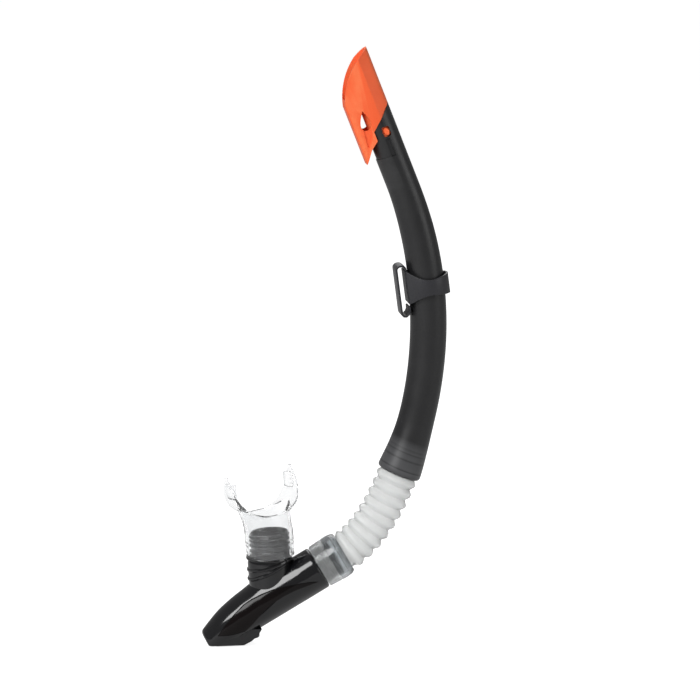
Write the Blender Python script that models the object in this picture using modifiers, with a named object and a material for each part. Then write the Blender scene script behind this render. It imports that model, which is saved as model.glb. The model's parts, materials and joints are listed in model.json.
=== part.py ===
"""Snorkel tube: bent barrel, splash guard, mask-strap keeper, flexible hose, purge chamber and mouthpiece.

The part hangs from the mask strap, so the world origin is the middle of the keeper's strap slot.
X runs from the wearer's face side to the barrel, Y through the strap slot, Z up. Metres throughout.
"""
from math import cos, pi, radians, sin

import bmesh
import bpy
from mathutils import Matrix, Vector

MM = 0.001
GAP = 0.3 * MM
COLLECTION = "snorkel_tube"

# barrel: an arc in the XZ plane that runs on as a straight line at the top
ARC_CENTRE = Vector((-258.4 * MM, 0.0, -24.8 * MM))
ARC_RADIUS = 277.1 * MM
ARC_LOW = radians(-22.6)
ARC_HIGH = radians(21.5)
STRAIGHT = 62.0 * MM
BARREL_TOP_RADIUS = 11.15 * MM
BARREL_MID_RADIUS = 12.9 * MM
SOCKET_RADIUS = 15.8 * MM
SOCKET_BORE = 13.3 * MM
SOCKET_DEPTH = 20.0 * MM
BARREL_TOP_BORE = 9.3 * MM
BARREL_MID_BORE = 10.8 * MM
BARREL_SIDES = 32

# splash guard, in the straight's own frame: t across (away from the arc's centre), s along
SEAM_SLOPE = 0.88
SEAM_RIGHT = 56.8 * MM
GUARD_DEPTH = 12.0 * MM
GUARD_WALL = 1.7 * MM
KEEL_T = -18.5 * MM
KEEL_FOOT_S = 21.3 * MM
TIP_S = 100.0 * MM
SLEEVE_RADIUS = 8.9 * MM
SLEEVE_WALL = 1.1 * MM
SLEEVE_FOOT_S = 26.0 * MM
LATCH_T = 1.9 * MM
LATCH_S = 38.8 * MM
LATCH_SIZE = (6.4 * MM, 15.0 * MM)
NUB_SIZE = (4.4 * MM, 6.0 * MM)
NUB_PROUD = 12.2 * MM
RECESS_DEPTH = 0.8 * MM

# keeper, in its own frame: r across, a along the barrel
KEEPER_CENTRE = Vector((17.1 * MM, 0.0, 5.0 * MM))
KEEPER_TILT = radians(7.5)
BAND_RADIUS = 16.0 * MM
BAND_WALL = 1.5 * MM
BAND_FACE_R = -15.2 * MM
STRAP_DEPTH = 8.0 * MM
SLOT_WIDTH = 4.9 * MM
GATE_WALL = 1.4 * MM

# chamber, in its own frame: k along its axis towards the hose, h upwards across it
CHAMBER_NECK = Vector((-59.35 * MM, 0.0, -197.9 * MM))
CHAMBER_TILT = radians(30.0)
CHAMBER_RADIUS = 15.7 * MM
CHAMBER_WALL = 2.0 * MM
NECK_RADIUS = 12.9 * MM
NECK_BORE = 10.9 * MM
NECK_LENGTH = 13.5 * MM
PURGE_FACE_Z = -244.9 * MM
COLLAR_END = 12.4 * MM
CAP_END = 20.5 * MM
CAP_RADIUS = 16.4 * MM

# hose: one cubic curve from the barrel's socket to the collar, tangent to both
HOSE_HANDLE = 25.0 * MM
HOSE_CREST = 14.4 * MM
HOSE_TROUGH = 12.5 * MM
HOSE_WALL = 1.5 * MM
HOSE_PITCH = 7.6 * MM
HOSE_CRESTS = 9
HOSE_SIDES = 20

# mouthpiece port and mouthpiece
PORT_CENTRE = Vector((-95.2 * MM, 0.0, -170.8 * MM))
PORT_LEAN = radians(4.0)
PORT_RADIUS = 13.7 * MM
PORT_RIB = 14.7 * MM
PORT_BORE = 12.0 * MM
MOUTH_TURN = radians(27.0)
MOUTH_COLLAR_FOOT = -17.5 * MM

# purge valve, on a vertical axis below the nose
PURGE_X = -121.6 * MM
PURGE_LENGTH = 19.5 * MM
PURGE_WIDTH = 12.4 * MM


# ---------------------------------------------------------------- frames


def tilted_frame(origin, angle):
    """Matrix of a frame in the XZ plane whose local X is turned up from world X by angle."""
    return Matrix.Translation(origin) @ Matrix.Rotation(-angle, 4, "Y")


def arc_point(angle, radius=ARC_RADIUS):
    """Point at an angle of the barrel's arc."""
    return ARC_CENTRE + radius * Vector((cos(angle), 0.0, sin(angle)))


STRAIGHT_FRAME = tilted_frame(arc_point(ARC_HIGH), ARC_HIGH)
KEEPER_FRAME = tilted_frame(KEEPER_CENTRE, KEEPER_TILT)
CHAMBER_FRAME = tilted_frame(CHAMBER_NECK, CHAMBER_TILT)
PORT_FRAME = tilted_frame(PORT_CENTRE, PORT_LEAN)
MOUTH_FRAME = PORT_FRAME @ Matrix.Rotation(MOUTH_TURN, 4, "Z")
PURGE_FRAME = Matrix.Translation((PURGE_X, 0.0, PURGE_FACE_Z))
TO_CHAMBER_AXIS = Matrix.Rotation(pi / 2, 4, "Y")
HOSE_PIVOT = Vector((-20.5 * MM, 0.0, -166.0 * MM))
GATE_PIVOT = KEEPER_FRAME @ Vector((BAND_FACE_R + GATE_WALL / 2, 0.0, 12.6 * MM))


# ---------------------------------------------------------------- tools


def clear_scene():
    """Remove every object, so that the script starts from nothing."""
    for old in list(bpy.data.objects):
        bpy.data.objects.remove(old, do_unlink=True)


def make_collection(name):
    """New collection under the scene."""
    group = bpy.data.collections.new(name)
    bpy.context.scene.collection.children.link(group)
    return group


def make_material(name, colour, roughness, metallic=0.0):
    """Plain Principled material."""
    material = bpy.data.materials.new(name)
    material.use_nodes = True
    shader = material.node_tree.nodes["Principled BSDF"]
    shader.inputs["Base Color"].default_value = (*colour, 1.0)
    shader.inputs["Roughness"].default_value = roughness
    shader.inputs["Metallic"].default_value = metallic
    return material


def add_mesh(name, build, frame=Matrix.Identity(4)):
    """New object whose mesh is built by a bmesh function and moved to a frame."""
    data = bmesh.new()
    build(data)
    bmesh.ops.transform(data, matrix=frame, verts=data.verts)
    bmesh.ops.recalc_face_normals(data, faces=data.faces)
    mesh = bpy.data.meshes.new(name)
    data.to_mesh(mesh)
    data.free()
    piece = bpy.data.objects.new(name, mesh)
    bpy.context.scene.collection.objects.link(piece)
    return piece


def cylinder(name, radius, low, high, frame, sides=32, radius_high=None):
    """Closed cylinder or cone along the frame's Z, from low to high."""
    top = radius if radius_high is None else radius_high

    def build(data):
        bmesh.ops.create_cone(data, cap_ends=True, segments=sides, radius1=radius, radius2=top,
                              depth=high - low)
        bmesh.ops.translate(data, verts=data.verts, vec=(0.0, 0.0, (low + high) / 2))
    return add_mesh(name, build, frame)


def block(name, size, centre, frame=Matrix.Identity(4)):
    """Closed box of a size about a centre in a frame."""
    def build(data):
        bmesh.ops.create_cube(data, size=1.0)
        bmesh.ops.scale(data, verts=data.verts, vec=size)
        bmesh.ops.translate(data, verts=data.verts, vec=centre)
    return add_mesh(name, build, frame)


def plate(name, outline, low, high, frame=Matrix.Identity(4)):
    """Outline of (x, z) points in the frame's XZ plane, extruded along Y from low to high."""
    def build(data):
        face = data.faces.new([data.verts.new((x, low, z)) for x, z in outline])
        grown = bmesh.ops.extrude_face_region(data, geom=[face])["geom"]
        moved = [item for item in grown if isinstance(item, bmesh.types.BMVert)]
        bmesh.ops.translate(data, verts=moved, vec=(0.0, high - low, 0.0))
    return add_mesh(name, build, frame)


def loft(name, rings, frame=Matrix.Identity(4)):
    """Closed skin through rings of equal point counts, capped at both ends."""
    def build(data):
        loops = [[data.verts.new(point) for point in ring] for ring in rings]
        for first, second in zip(loops, loops[1:]):
            for i in range(len(first)):
                j = (i + 1) % len(first)
                data.faces.new((first[i], first[j], second[j], second[i]))
        data.faces.new(reversed(loops[0]))
        data.faces.new(loops[-1])
    return add_mesh(name, build, frame)


def turned(name, profile, frame, sides=32):
    """Closed ring turned about the frame's Z from a closed profile of (radius, height) points."""
    def build(data):
        loops = []
        for step in range(sides):
            angle = 2 * pi * step / sides
            loops.append([data.verts.new((r * cos(angle), r * sin(angle), z)) for r, z in profile])
        for step in range(sides):
            first, second = loops[step], loops[(step + 1) % sides]
            for i in range(len(profile)):
                j = (i + 1) % len(profile)
                data.faces.new((first[i], second[i], second[j], first[j]))
    return add_mesh(name, build, frame)


def combine(piece, other, operation):
    """Apply an exact Boolean of another closed mesh to a piece and remove the other."""
    tool = piece.modifiers.new(operation.lower(), "BOOLEAN")
    tool.operation = operation
    tool.solver = "EXACT"
    tool.object = other
    bpy.context.view_layer.update()
    result = bpy.data.meshes.new_from_object(piece.evaluated_get(bpy.context.evaluated_depsgraph_get()))
    piece.modifiers.clear()
    piece.data = result
    bpy.data.objects.remove(other, do_unlink=True)
    return piece


def cut(piece, *others):
    """Subtract closed meshes from a piece."""
    for other in others:
        combine(piece, other, "DIFFERENCE")
    return piece


def join(piece, *others):
    """Unite closed meshes with a piece."""
    for other in others:
        combine(piece, other, "UNION")
    return piece


def keep_inside(piece, other):
    """Keep only what lies inside another closed mesh."""
    return combine(piece, other, "INTERSECT")


def finish(piece, material, group, pivot=None, smooth=35.0):
    """Give a piece its material, its collection, its smooth shading and an origin on its joint's axis."""
    if pivot is not None:
        piece.data.transform(Matrix.Translation(-pivot))
        piece.location = pivot
    piece.data.materials.clear()
    piece.data.materials.append(material)
    for owner in list(piece.users_collection):
        owner.objects.unlink(piece)
    group.objects.link(piece)
    piece.data.shade_smooth()
    piece.data.set_sharp_from_angle(angle=radians(smooth))
    return piece


def ring_points(centre, across, side, radius, sides, width=None):
    """Ring of points about a centre: radius along across, width (or radius) along side."""
    wide = radius if width is None else width
    angles = [2 * pi * i / sides for i in range(sides)]
    return [centre + across * (radius * cos(a)) + side * (wide * sin(a)) for a in angles]


def blend(value, table):
    """Straight-line value between the (place, value) pairs of a table."""
    for (low, first), (high, second) in zip(table, table[1:]):
        if value <= high:
            share = max(0.0, (value - low) / (high - low))
            return first + (second - first) * share
    return table[-1][1]


# ---------------------------------------------------------------- barrel and hose


def barrel_station(distance):
    """Centre and outward direction of the barrel at a distance up from its lower end."""
    angle = ARC_LOW + distance / ARC_RADIUS
    if angle <= ARC_HIGH:
        return arc_point(angle), Vector((cos(angle), 0.0, sin(angle)))
    out = Vector((cos(ARC_HIGH), 0.0, sin(ARC_HIGH)))
    along = Vector((-sin(ARC_HIGH), 0.0, cos(ARC_HIGH)))
    return arc_point(ARC_HIGH) + along * (distance - ARC_RADIUS * (ARC_HIGH - ARC_LOW)), out


ARC_LENGTH = ARC_RADIUS * (ARC_HIGH - ARC_LOW)
BARREL_LENGTH = ARC_LENGTH + STRAIGHT
BARREL_OUTSIDE = [(0.0, SOCKET_RADIUS - 1.4 * MM), (0.6 * MM, SOCKET_RADIUS - 0.5 * MM),
                  (1.8 * MM, SOCKET_RADIUS), (12 * MM, 15.0 * MM), (22 * MM, 14.0 * MM),
                  (36 * MM, 13.15 * MM), (52 * MM, BARREL_MID_RADIUS),
                  (120 * MM, BARREL_MID_RADIUS), (170 * MM, 12.2 * MM),
                  (ARC_LENGTH, BARREL_TOP_RADIUS), (BARREL_LENGTH, BARREL_TOP_RADIUS)]
BARREL_INSIDE = [(SOCKET_DEPTH, BARREL_MID_BORE), (120 * MM, BARREL_MID_BORE),
                 (ARC_LENGTH, BARREL_TOP_BORE), (BARREL_LENGTH + 2 * MM, BARREL_TOP_BORE)]


def barrel_sweep(name, stations, table, grow=0.0):
    """Tapered sweep along the barrel's centre line through distances, with radii from a table."""
    rings = []
    for distance in stations:
        centre, out = barrel_station(distance)
        rings.append(ring_points(centre, out, Vector((0.0, 1.0, 0.0)),
                                 blend(distance, table) + grow, BARREL_SIDES))
    return loft(name, rings)


def spread(low, high, count):
    """Evenly spaced values from low to high, both kept."""
    return [low + (high - low) * i / (count - 1) for i in range(count)]


def build_barrel(group, material):
    """Bent tube with a stepped socket below, a slanted top and a latch window on each side."""
    outside = [0.0, 0.6 * MM, 1.8 * MM, 12 * MM] + spread(22 * MM, ARC_LENGTH, 16) + [BARREL_LENGTH]
    piece = barrel_sweep("barrel", outside, BARREL_OUTSIDE)
    bore = barrel_sweep("bore", spread(SOCKET_DEPTH - MM, ARC_LENGTH, 16) + [BARREL_LENGTH + 2 * MM],
                        BARREL_INSIDE)
    socket = barrel_sweep("socket", spread(-MM, SOCKET_DEPTH, 4), [(0.0, SOCKET_BORE), (1.0, SOCKET_BORE)])
    cut(piece, join(bore, socket))
    cut(piece, plate("slant", seam_outline(1.5 * MM), -30 * MM, 30 * MM, STRAIGHT_FRAME))
    recess = cylinder("recess", 13 * MM, 20.5 * MM, STRAIGHT + 5 * MM, STRAIGHT_FRAME)
    cut(recess, cylinder("core", BARREL_TOP_RADIUS - RECESS_DEPTH, 0.0, STRAIGHT + 9 * MM, STRAIGHT_FRAME))
    cut(recess, block("half", (40 * MM, 60 * MM, 90 * MM), (20.6 * MM, 0.0, 40 * MM), STRAIGHT_FRAME))
    cut(piece, recess)
    for side in (-1, 1):
        window = (NUB_SIZE[0] + 1.0 * MM, 8 * MM, NUB_SIZE[1] + 1.0 * MM)
        cut(piece, block("window", window, (LATCH_T, side * 11 * MM, LATCH_S), STRAIGHT_FRAME))
    return finish(piece, material, group)


def hose_curve(share):
    """Centre and across direction of the hose at a share of its cubic curve, from the barrel down."""
    start = arc_point(ARC_LOW)
    end = CHAMBER_FRAME @ Vector((NECK_LENGTH + 3.0 * MM, 0.0, 0.0))
    first = start + HOSE_HANDLE * Vector((sin(ARC_LOW), 0.0, -cos(ARC_LOW)))
    second = end + HOSE_HANDLE * Vector((cos(CHAMBER_TILT), 0.0, sin(CHAMBER_TILT)))
    rest = 1.0 - share
    centre = start * rest ** 3 + first * 3 * rest * rest * share + second * 3 * rest * share ** 2 + end * share ** 3
    way = (first - start) * rest ** 2 + (second - first) * 2 * rest * share + (end - second) * share ** 2
    way.normalize()
    return centre, Vector((-way.z, 0.0, way.x))


def hose_stations():
    """Centres and across directions with the distance down the hose, in fine steps."""
    found = [(0.0, *hose_curve(0.0))]
    for step in range(1, 201):
        centre, across = hose_curve(step / 200)
        found.append((found[-1][0] + (centre - found[-1][1]).length, centre, across))
    return found


HOSE_PATH = hose_stations()
HOSE_LENGTH = HOSE_PATH[-1][0]
FIRST_CREST = 4.0 * MM


def hose_station(distance):
    """Centre and across direction of the hose at a distance down it; straight beyond its ends."""
    if distance < 0.0:
        centre, across = HOSE_PATH[0][1:]
        return centre + Vector((across.z, 0.0, -across.x)) * distance, across
    place = min(HOSE_PATH, key=lambda item: abs(item[0] - distance))
    return place[1], place[2]


def hose_sweep(name, stations):
    """Sweep down the hose through (distance, radius) pairs."""
    rings = []
    for distance, radius in stations:
        centre, across = hose_station(distance)
        rings.append(ring_points(centre, across, Vector((0.0, 1.0, 0.0)), radius, HOSE_SIDES))
    return loft(name, rings)


def build_hose(group, material):
    """Corrugated hose with a plain upper cuff inside the socket and a plain lower end in the collar."""
    upper = -SOCKET_DEPTH + 3.5 * MM
    outside = [(upper, HOSE_TROUGH + 0.2 * MM), (-0.6 * MM, HOSE_TROUGH + 0.2 * MM)]
    inside = [(upper - MM, HOSE_TROUGH - HOSE_WALL), (-0.6 * MM, HOSE_TROUGH - HOSE_WALL)]
    for number in range(HOSE_CRESTS):
        middle = FIRST_CREST + number * HOSE_PITCH
        for offset, radius in ((-0.32, HOSE_TROUGH + 0.5 * MM), (-0.14, HOSE_CREST), (0.14, HOSE_CREST),
                               (0.32, HOSE_TROUGH + 0.5 * MM)):
            outside.append((middle + offset * HOSE_PITCH, radius))
            inside.append((middle + offset * HOSE_PITCH, radius - HOSE_WALL))
    for distance in (HOSE_LENGTH - 1.5 * MM, HOSE_LENGTH):
        outside.append((distance, HOSE_TROUGH - 0.3 * MM))
    inside.append((HOSE_LENGTH - 1.5 * MM, HOSE_TROUGH - HOSE_WALL - 0.3 * MM))
    piece = hose_sweep("flex_hose", outside)
    bore = hose_sweep("hose_bore", inside)
    tail = cylinder("tail", HOSE_TROUGH - HOSE_WALL - 0.3 * MM, NECK_LENGTH - 6 * MM, NECK_LENGTH + 6 * MM,
                    CHAMBER_FRAME @ TO_CHAMBER_AXIS, HOSE_SIDES)
    cut(piece, join(bore, tail))
    return finish(piece, material, group, HOSE_PIVOT)


def socket_frame(distance):
    """Frame on the barrel's axis at a distance up from its lower end, with Z along the barrel."""
    angle = ARC_LOW + distance / ARC_RADIUS
    return tilted_frame(arc_point(angle), angle)


def build_socket_rings(group, insert_material, ring_material):
    """Hard insert inside the hose cuff and the ring that locks the cuff in the socket."""
    bore = HOSE_TROUGH - HOSE_WALL - GAP
    insert = turned("hose_insert", [(bore, 0.0), (bore, 14 * MM), (bore - 1.2 * MM, 14 * MM),
                                    (bore - 1.2 * MM, 0.0)], socket_frame(2.0 * MM))
    finish(insert, insert_material, group)
    low = HOSE_TROUGH + 0.2 * MM + GAP - 0.05 * MM
    retainer = turned("retainer_ring", [(SOCKET_BORE - 0.15 * MM, 0.0), (SOCKET_BORE - 0.15 * MM, 1.0 * MM),
                                        (low, 1.0 * MM), (low, 0.0)], socket_frame(8.0 * MM))
    finish(retainer, ring_material, group)


# ---------------------------------------------------------------- splash guard


def seam_s(t):
    """Height of the slanted seam between barrel and guard at a place t across."""
    return SEAM_RIGHT + SEAM_SLOPE * (t - BARREL_TOP_RADIUS)


def seam_outline(drop):
    """Everything above a line that lies drop below the seam, as an outline in the straight's frame."""
    left, right, top = -40 * MM, 40 * MM, 200 * MM
    return [(left, seam_s(left) - drop), (right, seam_s(right) - drop), (right, top), (left, top)]


def mouth_edge(count=9):
    """Curved open edge of the guard, from its tip down to the top of the keel."""
    start, end = Vector((BARREL_TOP_RADIUS, TIP_S)), Vector((KEEL_T, 68.0 * MM))
    middle = Vector((-10.5 * MM, 96.0 * MM))
    points = []
    for share in spread(0.0, 1.0, count):
        rest = 1.0 - share
        points.append(start * rest * rest + middle * 2 * rest * share + end * share * share)
    return [(point.x, point.y) for point in points]


def guard_outline(inset=0.0, past=0.0):
    """Side outline of the guard, or of its hollow when inset; past lifts the open edge."""
    left = KEEL_T - 3 * MM
    right = BARREL_TOP_RADIUS + 3 * MM
    edge = [(t - past * 0.5, s + past) for t, s in mouth_edge()]
    edge = [(right, edge[0][1] + 0.5 * MM)] + edge + [(left - past, edge[-1][1] - 3 * MM)]
    if inset:
        floor = [(left - past, 46 * MM), (-9.2 * MM, 42.5 * MM), (-6.0 * MM, seam_s(-6.0 * MM) + inset)]
        return [(right, seam_s(right) + inset)] + edge + floor
    foot = [(-6.2 * MM, 34.7 * MM), (-12.0 * MM, 30.2 * MM), (left, KEEL_FOOT_S - 4.1 * MM)]
    lower = [(right, seam_s(right)), (-6.2 * MM, seam_s(-6.2 * MM))] + foot
    return edge + list(reversed(lower))


def guard_section(inset=0.0):
    """Half-round back with flat cheeks that narrow to the keel, as (t, y) points."""
    radius = BARREL_TOP_RADIUS - inset
    depth = GUARD_DEPTH - inset
    back = [(radius * cos(a), depth * sin(a)) for a in (radians(v) for v in range(-90, 91, 12))]
    keel = KEEL_T + inset
    narrow = 6.5 * MM - inset * 0.8
    wide = 8.2 * MM - inset * 0.8
    return back + [(keel + 2.0 * MM, wide), (keel, narrow), (keel, -narrow), (keel + 2.0 * MM, -wide)]


def guard_prism(name, inset, low, high):
    """The guard's section drawn out along the straight."""
    rings = [[Vector((t, y, s)) for t, y in guard_section(inset)] for s in (low, high)]
    return loft(name, rings, STRAIGHT_FRAME)


def teardrop(count=14):
    """Outline of the drain window: a drop with its point upwards."""
    centre_t, centre_s, half_width, half_height = -9.8 * MM, 52.2 * MM, 3.3 * MM, 6.6 * MM
    points = []
    for step in range(count):
        angle = 2 * pi * step / count
        taper = sin(angle / 2) ** 1.5
        points.append((centre_t + half_width * 1.15 * sin(angle) * taper - 1.2 * MM * (1 - cos(angle)) / 2,
                       centre_s + half_height * cos(angle)))
    return points


def build_guard(group, material):
    """Hollow hooded guard with a drain window, and the sleeve that plugs into the barrel."""
    piece = plate("splash_guard", guard_outline(), -20 * MM, 20 * MM, STRAIGHT_FRAME)
    keep_inside(piece, guard_prism("guard_skin", 0.0, 0.0, 130 * MM))
    hollow = plate("hollow", guard_outline(GUARD_WALL, 4 * MM), -20 * MM, 20 * MM, STRAIGHT_FRAME)
    keep_inside(hollow, guard_prism("hollow_skin", GUARD_WALL, 0.0, 130 * MM))
    cut(piece, hollow)
    seat = cylinder("seat", BARREL_TOP_RADIUS - RECESS_DEPTH + GAP, 0.0, 47 * MM, STRAIGHT_FRAME)
    cut(piece, seat)
    sleeve = cylinder("sleeve", SLEEVE_RADIUS, SLEEVE_FOOT_S, 63 * MM, STRAIGHT_FRAME)
    for side in (-1, 1):
        size = (LATCH_SIZE[0] + 2 * GAP, 8 * MM, LATCH_SIZE[1] + 2 * GAP)
        cut(sleeve, block("latch_window", size, (LATCH_T, side * 9 * MM, LATCH_S), STRAIGHT_FRAME))
    join(piece, sleeve)
    cut(piece, cylinder("sleeve_bore", SLEEVE_RADIUS - SLEEVE_WALL, 0.0, 67 * MM, STRAIGHT_FRAME))
    cut(piece, plate("drain", teardrop(), -20 * MM, 20 * MM, STRAIGHT_FRAME))
    return finish(piece, material, group)


def build_latch(name, side, group, material):
    """Tongue in the sleeve's window with the nub that stands through the barrel."""
    tongue = cylinder(name, SLEEVE_RADIUS, LATCH_S - LATCH_SIZE[1] / 2, LATCH_S + LATCH_SIZE[1] / 2,
                      STRAIGHT_FRAME)
    cut(tongue, cylinder("core", SLEEVE_RADIUS - SLEEVE_WALL, 0.0, 90 * MM, STRAIGHT_FRAME))
    keep = block("keep", (LATCH_SIZE[0], 8 * MM, 40 * MM), (LATCH_T, side * 9 * MM, LATCH_S), STRAIGHT_FRAME)
    keep_inside(tongue, keep)
    turn = Matrix.Translation((LATCH_T, 0.0, LATCH_S)) @ Matrix.Rotation(-side * pi / 2, 4, "X")
    nub = cylinder("nub", NUB_SIZE[0] / 2, SLEEVE_RADIUS - 0.6 * MM, NUB_PROUD, STRAIGHT_FRAME @ turn, 16,
                   NUB_SIZE[0] / 2 - 0.5 * MM)
    centre = STRAIGHT_FRAME @ Vector((LATCH_T, 0.0, LATCH_S))
    along = Matrix.Translation(centre) @ Matrix.Rotation(-ARC_HIGH, 4, "Y")
    stretch = along @ Matrix.Diagonal((1.0, 1.0, NUB_SIZE[1] / NUB_SIZE[0], 1.0)) @ along.inverted()
    nub.data.transform(stretch)
    join(tongue, nub)
    return finish(tongue, material, group, STRAIGHT_FRAME @ Vector((LATCH_T, side * SLEEVE_RADIUS, LATCH_S)))


# ---------------------------------------------------------------- keeper


def band_plan(inset):
    """Plan of the keeper band, round on the barrel's far side and flat at the strap slot."""
    radius = BAND_RADIUS - inset
    face = BAND_FACE_R + inset
    depth = STRAP_DEPTH + 1.5 * MM - inset * 0.6
    limit = radians(130)
    count = 22
    points = []
    for step in range(count + 1):
        angle = -limit + 2 * limit * step / count
        points.append((radius * cos(angle), radius * sin(angle)))
    return points + [(face, depth), (face, -depth)]


def build_keeper_band(group, material):
    """Waisted band round the barrel: tall at the strap slot, low in front, mid-height behind."""
    low, high = -16 * MM, 16 * MM
    outer = loft("keeper_band", [[Vector((x, y, z)) for x, y in band_plan(0.0)] for z in (low, high)],
                 KEEPER_FRAME)
    inner = loft("band_hole", [[Vector((x, y, z)) for x, y in band_plan(BAND_WALL)]
                               for z in (low - MM, high + MM)], KEEPER_FRAME)
    cut(outer, inner)
    top = [(-20.0, 12.2), (-15.5, 12.0), (-13.0, 10.2), (-8.0, 7.0), (-3.0, 5.0), (2.0, 4.3), (8.0, 4.9),
           (20.0, 6.6)]
    bottom = [(20.0, -9.0), (8.0, -7.4), (2.0, -6.6), (-3.0, -7.0), (-8.0, -8.6), (-13.0, -11.0),
              (-20.0, -12.6)]
    side = plate("side", [(x * MM, z * MM) for x, z in top + bottom], -30 * MM, 30 * MM, KEEPER_FRAME)
    keep_inside(outer, side)
    return finish(outer, material, group, ARC_CENTRE)


def gate_path():
    """Middle line of the gate strip: over the top, down the outside, round the nub and up to the hook."""
    slot_r = BAND_FACE_R - SLOT_WIDTH / 2
    half = SLOT_WIDTH / 2 + GATE_WALL / 2
    top_a = 13.2 * MM
    points = [(slot_r + half, 12.6 * MM)]
    for step in range(7):
        angle = pi * step / 6
        points.append((slot_r + half * cos(angle), top_a + half * 0.8 * sin(angle)))
    points += [(slot_r - half, -4.0 * MM), (slot_r - half, -18.5 * MM), (slot_r - half + 1.1 * MM, -20.1 * MM),
               (slot_r - 0.2 * MM, -20.2 * MM), (slot_r + 1.6 * MM, -19.0 * MM),
               (slot_r + half - 0.5 * MM, -17.0 * MM), (slot_r + half - 0.3 * MM, -13.8 * MM)]
    return points


def build_keeper_gate(group, material):
    """Outer strip of the strap slot, a plain ribbon with its own thickness."""
    points = gate_path()

    def build(data):
        left = [data.verts.new((r, -STRAP_DEPTH, a)) for r, a in points]
        right = [data.verts.new((r, STRAP_DEPTH, a)) for r, a in points]
        for i in range(len(points) - 1):
            data.faces.new((left[i], left[i + 1], right[i + 1], right[i]))
    piece = add_mesh("keeper_gate", build, KEEPER_FRAME)
    wall = piece.modifiers.new("wall", "SOLIDIFY")
    wall.thickness = GATE_WALL
    wall.offset = 0.0
    return finish(piece, material, group, GATE_PIVOT)


# ---------------------------------------------------------------- chamber


NOSE_TOP = [(-110 * MM, -7.0 * MM), (-98 * MM, 0.4 * MM), (-87.5 * MM, 4.7 * MM), (-77.4 * MM, 9.1 * MM),
            (-65 * MM, 12.4 * MM), (-55.8 * MM, 14.3 * MM), (-46 * MM, 15.5 * MM), (0.0, CHAMBER_RADIUS)]
NOSE_WIDTH = [(-110 * MM, 4.0 * MM), (-98 * MM, 7.6 * MM), (-87.5 * MM, 10.8 * MM), (-77.4 * MM, 12.8 * MM),
              (-65 * MM, 14.4 * MM), (-55.8 * MM, 15.2 * MM), (-46 * MM, CHAMBER_RADIUS), (0.0, CHAMBER_RADIUS)]
CHAMBER_BOTTOM = -CHAMBER_RADIUS


def chamber_loft(name, inset, low, high):
    """Loft of ovals along the chamber, closed towards the nose."""
    stations = [place for place, _ in NOSE_TOP if low < place < high]
    rings = []
    for k in [low] + stations + [high]:
        top = blend(k, NOSE_TOP) - inset
        bottom = CHAMBER_BOTTOM + inset
        width = blend(k, NOSE_WIDTH) - inset
        centre = Vector((k, 0.0, (top + bottom) / 2))
        rings.append(ring_points(centre, Vector((0.0, 0.0, 1.0)), Vector((0.0, 1.0, 0.0)),
                                 (top - bottom) / 2, 32, width))
    return loft(name, rings, CHAMBER_FRAME)


def port_profile():
    """Outer profile of the port, from the ribbed top down to a plain root."""
    points = [(0.0, -42 * MM), (PORT_RADIUS, -42 * MM), (PORT_RADIUS, -23.5 * MM)]
    for middle in (-21.5 * MM, -10.5 * MM, -2.0 * MM):
        points += [(PORT_RADIUS, middle - 1.2 * MM), (PORT_RIB, middle - 0.5 * MM),
                   (PORT_RIB, middle + 0.5 * MM), (PORT_RADIUS, middle + 1.2 * MM)]
    return points + [(PORT_RADIUS, 0.0), (0.0, 0.0)]


def solid_of_revolution(name, profile, frame, sides=32):
    """Closed solid turned about the frame's Z; the profile starts and ends on the axis, bottom to top."""
    inner = profile[1:-1]
    rings = []
    for radius, height in inner:
        angles = [2 * pi * i / sides for i in range(sides)]
        rings.append([Vector((radius * cos(a), radius * sin(a), height)) for a in angles])
    return loft(name, rings, frame)


def build_chamber(group, material):
    """Hollow chamber with an open purge face, a barbed neck and the mouthpiece port."""
    piece = chamber_loft("chamber_body", 0.0, -110 * MM, 0.0)
    barb = NECK_RADIUS + 0.5 * MM
    neck_profile = [(0.0, -4 * MM), (NECK_RADIUS, -4 * MM), (NECK_RADIUS, 2.2 * MM), (barb, 2.6 * MM),
                    (barb, 3.6 * MM), (NECK_RADIUS, 4.0 * MM), (NECK_RADIUS, 6.5 * MM), (barb, 6.9 * MM),
                    (barb, 7.9 * MM), (NECK_RADIUS, 8.3 * MM), (NECK_RADIUS, NECK_LENGTH), (0.0, NECK_LENGTH)]
    axis = CHAMBER_FRAME @ TO_CHAMBER_AXIS
    join(piece, solid_of_revolution("neck", neck_profile, axis))
    join(piece, solid_of_revolution("port", port_profile(), PORT_FRAME))
    hollow = chamber_loft("hollow", CHAMBER_WALL, -99 * MM, -3 * MM)
    join(hollow, cylinder("neck_bore", NECK_BORE, -6 * MM, NECK_LENGTH + MM, axis))
    join(hollow, cylinder("port_bore", PORT_BORE, -40 * MM, MM, PORT_FRAME))
    cut(piece, hollow)
    floor = block("floor", (200 * MM, 60 * MM, 60 * MM), (-120 * MM, 0.0, PURGE_FACE_Z - 30 * MM))
    cut(piece, floor)
    return finish(piece, material, group, CHAMBER_NECK)


def oval(scale_x, scale_y, inset=0.0, count=28):
    """Egg-shaped plan of the purge opening, blunt towards the port."""
    points = []
    for step in range(count):
        angle = 2 * pi * step / count
        narrow = 1.0 - 0.16 * (1.0 - cos(angle)) / 2
        points.append(((scale_x - inset) * cos(angle), (scale_y - inset) * sin(angle) * narrow))
    return points


def oval_prism(name, scale_x, scale_y, low, high, top_inset=0.0, bottom_inset=0.0):
    """Egg-shaped disc under the chamber, from low up to high in the purge frame."""
    rings = [[Vector((x, y, low)) for x, y in oval(scale_x, scale_y, bottom_inset)],
             [Vector((x, y, high)) for x, y in oval(scale_x, scale_y, top_inset)]]
    return loft(name, rings, PURGE_FRAME)


VALVE_RADIUS = 9.4 * MM


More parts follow.
